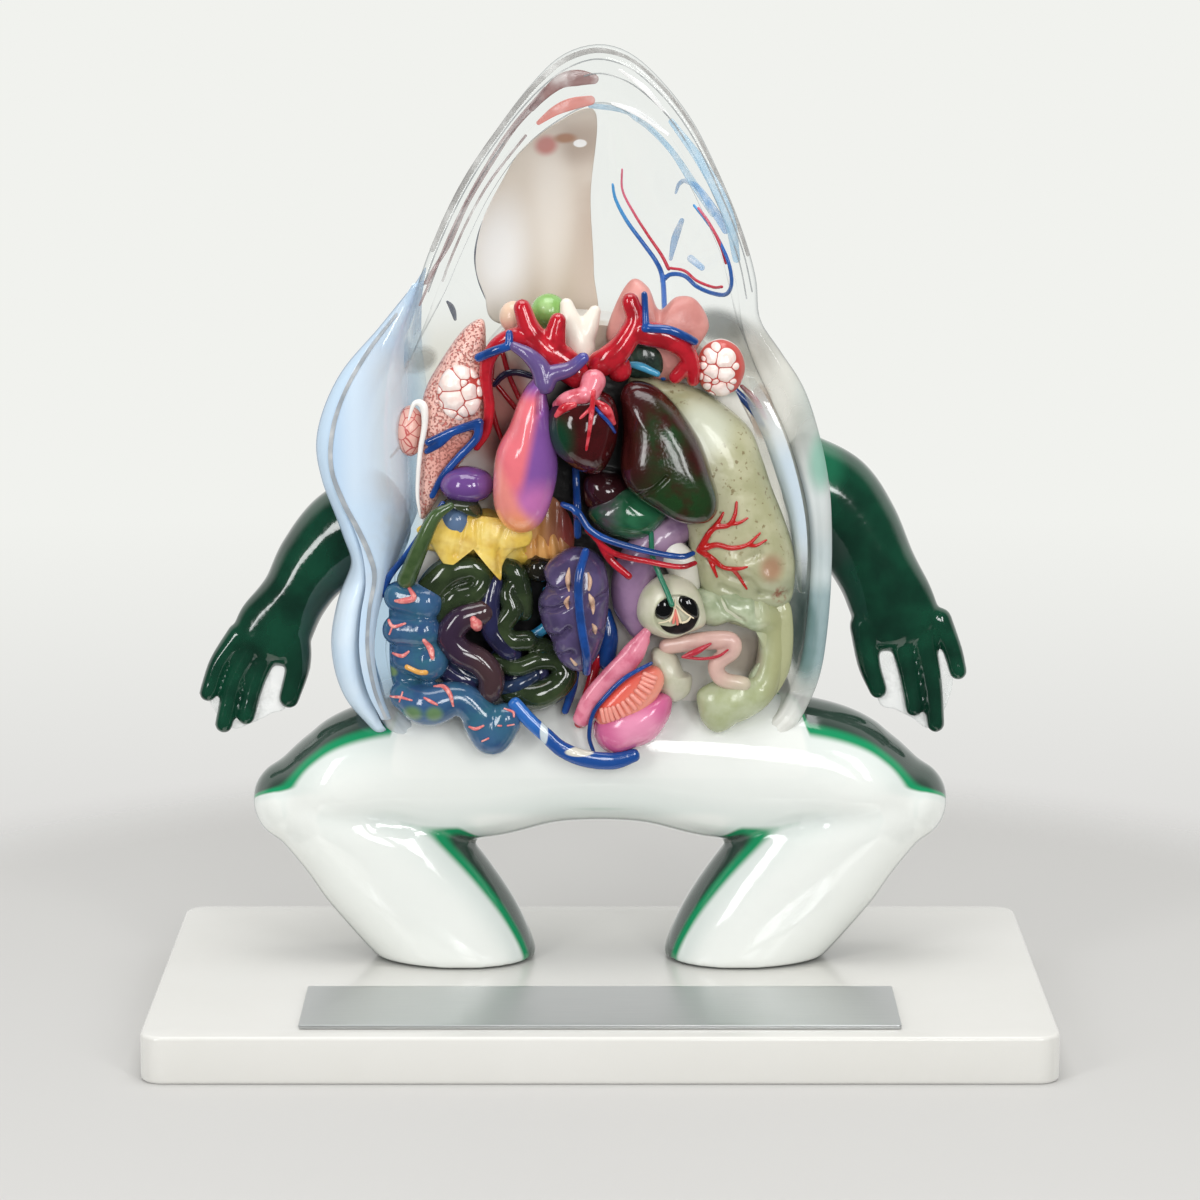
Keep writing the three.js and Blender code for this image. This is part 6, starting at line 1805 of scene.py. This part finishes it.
strands(
    "shoulder_artery", [[[44.6, 10, 202, 0.6], [48.8, 10, 197.6, 1.1], [52, 11, 192, 0.7]]], 18, 10, artery_enamel,
    "artery_red"
)
print("pocket and shoulder are made")

# %% Tan fold behind the sac
fold = cushion(
    [[-28, 160], [-24, 167], [-16, 169], [-10, 163], [-8, 155], [-10, 149], [-18, 147.6], [-27, 150]], 0.4, 4.6, 4
)
folds = [[[-24, 166], [-25.6, 150]], [[-19, 168], [-20.4, 149]], [[-13.6, 167], [-14, 149]]]
tan = enamel(
    "fold_tan_enamel", "#cf9a5e",
    [("#9a6248", along_x(-21, -14)), ("#8f3f3a", ("spot", (-9.6, -4, 160), (3.4, 9, 8), 1.0))], rough=0.25, coat=0.5,
    grain=3
)
made("tan_fold", [press(pad(fold, 160, 40), folds, 1.5, 1.3, 0)], tan, slot="pancreas_orange")
star = cushion(
    [
        [-57, 160], [-53, 155], [-47.6, 147.4], [-44.8, 152.4], [-41, 154.2], [-37, 152.4], [-34.8, 149.4],
        [-31.2, 143.4], [-30.4, 148.4], [-27.4, 152.6], [-22, 155], [-22, 160], [-31, 163], [-45, 164]
    ],
    -9, 2.4, 4
)
star_folds = [[[-31.4, 146], [-32, 152], [-29.6, 160]], [[-38, 153], [-38, 162]], [[-45, 152], [-42.6, 162]]]
made("fat_points", [press(pad(star, 200, 30), star_folds, 0.8, 1.0, 0)], fat, slot="fat_yellow")
print("folds are made")

# %% Cyan pockets between the rolls
cyan = speckled("pocket_cyan_enamel", "#3c9fcb", "#2a6f9f", (3, 0.4, 0.3), rough=0.2, coat=0.5, grain=2)
pockets = [
    [[-16.6, -1, 138.6, 1.5], [-14.4, -1, 134.6, 2.0], [-14, -1, 130, 1.8]],
    [[-26.6, -2, 122.6, 1.2], [-20.6, -2, 124.6, 1.7], [-15.4, -2, 128.4, 1.8]]
]
strands("cyan_pockets", pockets, 24, 10, cyan, "gut_blue")
navy_roll = speckled("roll_navy_enamel", "#273856", "#1b2238", (5, 0.5, 0.3), rough=0.12, coat=0.8, grain=3)
rolls = [
    [[-48.4, -5, 119, 2.4], [-43.6, -6, 113.4, 2.8], [-38.4, -6.4, 111, 2.2]],
    [[-33, -5, 107.6, 2.0], [-26.4, -6, 109, 2.7], [-20.6, -5, 112, 2.2]]
]
strands("navy_rolls", rolls, 28, 10, navy_roll, "gut_navy")
deep_blue = [[1.6, 0, 131, 2.2], [2.6, -1, 124, 3.2], [2.2, -1, 115.6, 2.8]]
deep_red = [[-0.8, -1, 117, 1.5], [-3.2, -1.6, 107, 1.9], [-6.6, -2, 96, 1.6]]
made(
    "pelvic_vein",
    [tube(deep_blue, 24, 10), tube([[-7.4, -2, 118, 1.3], [-8.6, -2, 108, 1.5], [-11, -2, 100, 1.2]], 20, 10)],
    vein_enamel, slot="vein_blue"
)
strands("pelvic_artery", [deep_red], 24, 10, artery_enamel, "artery_red")
print("pockets and rolls are made")

# %% Marks on the gut
salmon = speckled("raised_salmon_enamel", "#dc7272", "#efa39a", (1.5, 0.4, 0.2), rough=0.25, coat=0.4, grain=1)
amber = enamel("raised_amber_enamel", "#dda24e", rough=0.25, coat=0.4, grain=1)
marks = [  # half width, path
    (0.9, [[-60, 141.4], [-58.2, 138.4], [-61.6, 137.2], [-64, 137]]),
    (0.75, [[-67, 132], [-65, 129], [-61, 130]]),
    (0.6, [[-65, 129], [-66, 126.4]]),
    (0.8, [[-65, 120], [-62, 119.6], [-60, 121]]),
    (1.3, [[-55, 125], [-53, 122], [-52.4, 119.6]]),
    (0.6, [[-66, 106], [-63, 106.4], [-59, 106]]),
    (0.6, [[-62, 108], [-63, 105]]),
    (0.7, [[-55, 107], [-53, 106], [-51, 105]]),
    (0.7, [[-52, 110], [-49, 110], [-47, 108], [-46, 104.4]]),
    (0.7, [[-41, 97.4], [-39, 97], [-36.6, 98]]),
    (0.6, [[-37, 93], [-35, 94]]),
    (0.6, [[-30, 103], [-27.4, 102], [-27, 100.6]]),
    (0.6, [[-32, 98], [-31, 98]]),
    (0.5, [[-29, 98], [-27, 98.2]]),
]
swell = [0.5, 1.25, 0.8, 1.2, 0.5]  # share of the half width at even steps along a mark
paths = []
for width, path in marks:
    shares = np.interp(np.linspace(0, 1, len(path)), np.linspace(0, 1, len(swell)), swell)
    paths.append([[x, z, width * share] for (x, z), share in zip(path, shares.tolist())])
laid("large_intestine_marks", [blue_gut], paths, 14, 4, salmon, "organ_pink", sink=0.45, step=0.8)
amber_path = [[-60.4, 116.2], [-57, 115], [-54.6, 115]]
laid(
    "large_intestine_amber_mark", [blue_gut], [amber_path], 14, 4, amber, "pancreas_orange", radius=0.9, sink=0.5,
    step=1.0
)
spot = [[-39.6, 131.6, 1.2], [-38.8, 130, 2.0], [-38.2, 127.8, 1.1]]
rolls_below = [small_gut["navy"], small_gut["brown"], small_gut["green"]]
laid("gut_pink_spot", rolls_below, [spot], 20, 4, salmon, "organ_pink", sink=0.65, step=0.9)
print("gut is marked")

# %% [markdown]
# ## Lower organs
# A pink strap runs down to the cloaca, and its cut-open wall shows a row of villi and a blue edge.
# The bladder and the folded oviduct are putty-coloured castings beside it.

# %% Lower organs
UTERUS_STRAP = [
    [13.5, -9, 124.5, 2.2, 1.8], [9, -10, 118.5, 2.9, 2], [2.8, -10.4, 112, 3, 2], [-3, -10.4, 105, 2.8, 2],
    [-6, -10, 98.8, 2.4, 2]
]
UTERUS_SECTION = cushion(
    [[18.5, 115.5], [20, 110], [14, 101], [6, 96.5], [-0.5, 97.5], [-1.5, 103], [5, 110.5], [12, 115]], -9, 6, 8, 2.6
)
CLOACA = cushion(
    [[20.5, 107], [22.5, 101], [17.5, 92.5], [10, 89], [3.5, 87.5], [-1.2, 91.5], [-1.6, 98], [6, 104]], -7, 9, 8
)
BLADDER = cushion(
    [[16, 119.5], [19, 121], [24, 118.5], [26.5, 113], [29, 111.4], [28, 106], [23, 103.4], [18.5, 107], [17, 113]],
    -4, 6.5, 8
)
OVIDUCT = [
    [21, -5, 121.5, 2.6], [32, -7.4, 123.6, 3], [40.5, -8, 124, 2.9], [41.5, -8, 120.6, 2.8], [36.6, -8, 116.4, 2.7],
    [38.4, -7.6, 111.6, 2.6], [45, -6.4, 109.6, 2.6]
]
strap_pink = speckled("strap_pink_enamel", "#e38ba0", "#d06a84", (4, 0.4, 0.3), rough=0.25, coat=0.4, grain=2.5)
section = enamel(
    "section_red_enamel", "#dd4d40", [("#ef9a86", ("along", (3, 0, 108), (10, 0, 101)))], rough=0.2, coat=0.5, grain=2
)
bulb = enamel(
    "cloaca_pink_enamel", "#d36a98",
    [("#e793b4", ("spot", (12, -14, 97), (7, 10, 6), 1)), ("#c0527f", along_z(94, 88))], rough=0.18, coat=0.6, grain=3
)
putty = speckled("bladder_cream_enamel", "#c9c6b2", "#b6b69c", (6, 0.4, 0.3), rough=0.32, coat=0.3, grain=3)
rosy = enamel(
    "oviduct_cream_enamel", "#d8b3a8",
    [("#cda79e", ("grain", 6, 0.5, 0.3)), ("#c9bda6", ("along", (36, 0, 116), (46, 0, 108)))], rough=0.3, coat=0.35
)
wide = [
    [[x, y, z, 1.15 * a, b] for x, y, z, a, b in UTERUS_STRAP],
    [[14.6, -9, 127, 1.6, 1.4], [10.6, -9.6, 120.4, 3.6, 1.9], [5, -10, 113.6, 3.4, 1.9]]
]
vessel("uterus_strap", wide, strap_pink, "organ_pink")
open_wall = cast("uterus_section", pad(UTERUS_SECTION, 120, 24), section, "section_red")
cast("cloaca", pad(CLOACA, 120, 24), bulb, "organ_pink")
cast("bladder", pad(BLADDER, 100, 20), putty, "cream")
vessel("oviduct", [OVIDUCT], rosy, "cream", 0.45)
villus = enamel("villi_pink_enamel", "#ee9a8c", rough=0.3, coat=0.4, grain=1)
row = spline([[1, 100.8], [5, 101.9], [10, 104.9], [14.2, 109.6], [16, 113.6]], np.linspace(0, 1, 13))
side_step = unit(np.gradient(row, axis=0))[:, ::-1] * [1, -1]
across = [[(p - 2.1 * s).tolist(), p.tolist(), (p + 1.4 * s).tolist()] for p, s in zip(row, side_step)]
edge_line = [
    [16, -12.6, 117.6, 0.6], [8, -13.4, 113.2, 0.75], [1.8, -13.6, 107.2, 0.75], [-2.2, -13, 101.4, 0.7],
    [-3.4, -12, 94, 0.7], [-2, -11, 88.6, 0.6]
]
strands("uterus_blue_edge", [edge_line], 16, 10, vein_enamel, "vein_blue")
laid("uterus_villi", [open_wall], across, 12, 3, villus, "organ_pink", radius=0.75, sink=0.35, step=0.7)
leaf_red = enamel("oviduct_red_line_enamel", "#b5283a", rough=0.25, grain=1)
leaves = [
    [[26, 119.4, 0.5], [30, 121, 1.1], [34.6, 123.6, 0.4]],
    [[26, 119.4, 0.5], [32, 118.8, 0.5], [37, 119.6, 0.5], [40, 121.6, 0.35]]
]
strands("oviduct_lines", leaves, 12, 8, leaf_red, "artery_red", y=-11.4)
print("belly organs are made")

# %% [markdown]
# ## Floor, light and camera
# A pale floor fades into a pale backdrop. Three soft boxes stand in front, to the left, to the right
# and nearer the middle, and one hangs above, which gives the long soft highlights on the enamel. The
# camera sees the backdrop; the enamel mirrors it too, and the dark side of the room in front. The
# camera has a long lens, 1.23 m in front and a little above, looking down 11 degrees.


# %% Floor
def paper(name, colour, near, far):
    """Matt backdrop paper that fades out between two distances from the object, in metres."""
    material, tree, coords = blank(name)
    fade = ramp(tree, vectors(tree, "LENGTH", coords)["Value"], far, near)
    wire(tree, tree.nodes["Principled BSDF"], {"Base Color": lin(colour), "Roughness": 0.6, "Alpha": fade})
    return material


turn = np.linspace(0, 2 * np.pi, 96, endpoint=False)
disc = np.column_stack([np.cos(turn), np.sin(turn), np.zeros(96)])
floor_mesh = bpy.data.meshes.new("floor")
floor_mesh.from_pydata(disc.tolist(), [], [list(range(96))])
floor = bpy.data.objects.new("floor", floor_mesh)
bpy.context.scene.collection.objects.link(floor)
floor_mesh.materials.append(paper("pale_backdrop_paper", "#c9c8c6", near=0.27, far=0.36))
floor.visible_glossy = False  # the paper is far duller than it would look mirrored in the enamel
print("floor is laid")

# %% Light
world = bpy.data.worlds.new("studio")
bpy.context.scene.world = world
world.use_nodes = True
# what the camera sees is the pale backdrop; gloss mirrors that backdrop and the dark side of the room
studio = world.node_tree
rays = add(studio, "LightPath").outputs
direction = add(studio, "SeparateXYZ", {0: add(studio, "TexCoord").outputs["Generated"]}).outputs
drop = add(studio, "MapRange", {"Value": direction["Z"], "From Min": -0.255, "From Max": -0.17}).outputs[0]
sweep = blend(studio, drop, lin("#dcdbd9"), lin("#f1f2ee"))
mirrored = blend(studio, ramp(studio, direction["Y"], -0.2, 0.3), lin("#3b3e40"), lin("#e6e6e4"))
room = blend(studio, rays["Is Glossy Ray"], lin("#cfcfcd"), mirrored)
tone = blend(studio, rays["Is Camera Ray"], room, sweep)
wire(studio, studio.nodes["Background"], {"Color": tone})
# name, place and height of the point it faces in metres, width and height in metres, watts
for name, place, aim, size, power in (
    ("soft_box_left", (-0.78, -0.95, 0.6), 0.17, (0.24, 0.7), 4.2),
    ("soft_box_right", (0.6, -1.12, 0.66), 0.17, (0.22, 0.6), 4.0),
    ("soft_box_front", (0.2, -1.3, 0.5), 0.17, (0.26, 0.4), 2.6),
    ("soft_box_above", (0, -0.1, 1.3), 0.1, (0.9, 0.7), 7),
):
    light = bpy.data.lights.new(name, "AREA")
    light.shape, light.size, light.size_y, light.energy = "RECTANGLE", *size, power
    lamp = bpy.data.objects.new(name, light)
    lamp.location = place
    lamp.rotation_euler = (Vector((0, 0, aim)) - Vector(place)).to_track_quat("-Z", "Y").to_euler()
    bpy.context.scene.collection.objects.link(lamp)

# %% Camera
CAMERA_DISTANCE, CAMERA_HEIGHT = 1.231, 0.375  # metres
CAMERA_LENS, CAMERA_DOWN = 119.25, 0.19227  # millimetres, radians
scene = bpy.context.scene
camera = bpy.data.objects.new("camera", bpy.data.cameras.new("camera"))
camera.data.sensor_width, camera.data.lens = 36, CAMERA_LENS
camera.location = (0, -CAMERA_DISTANCE, CAMERA_HEIGHT)
camera.rotation_euler = (math.pi / 2 - CAMERA_DOWN, 0, 0)
camera.data.clip_start, camera.data.clip_end = 0.05, 20
scene.collection.objects.link(camera)
scene.camera = camera
scene.view_settings.view_transform = "Standard"
print("camera at", tuple(camera.location))
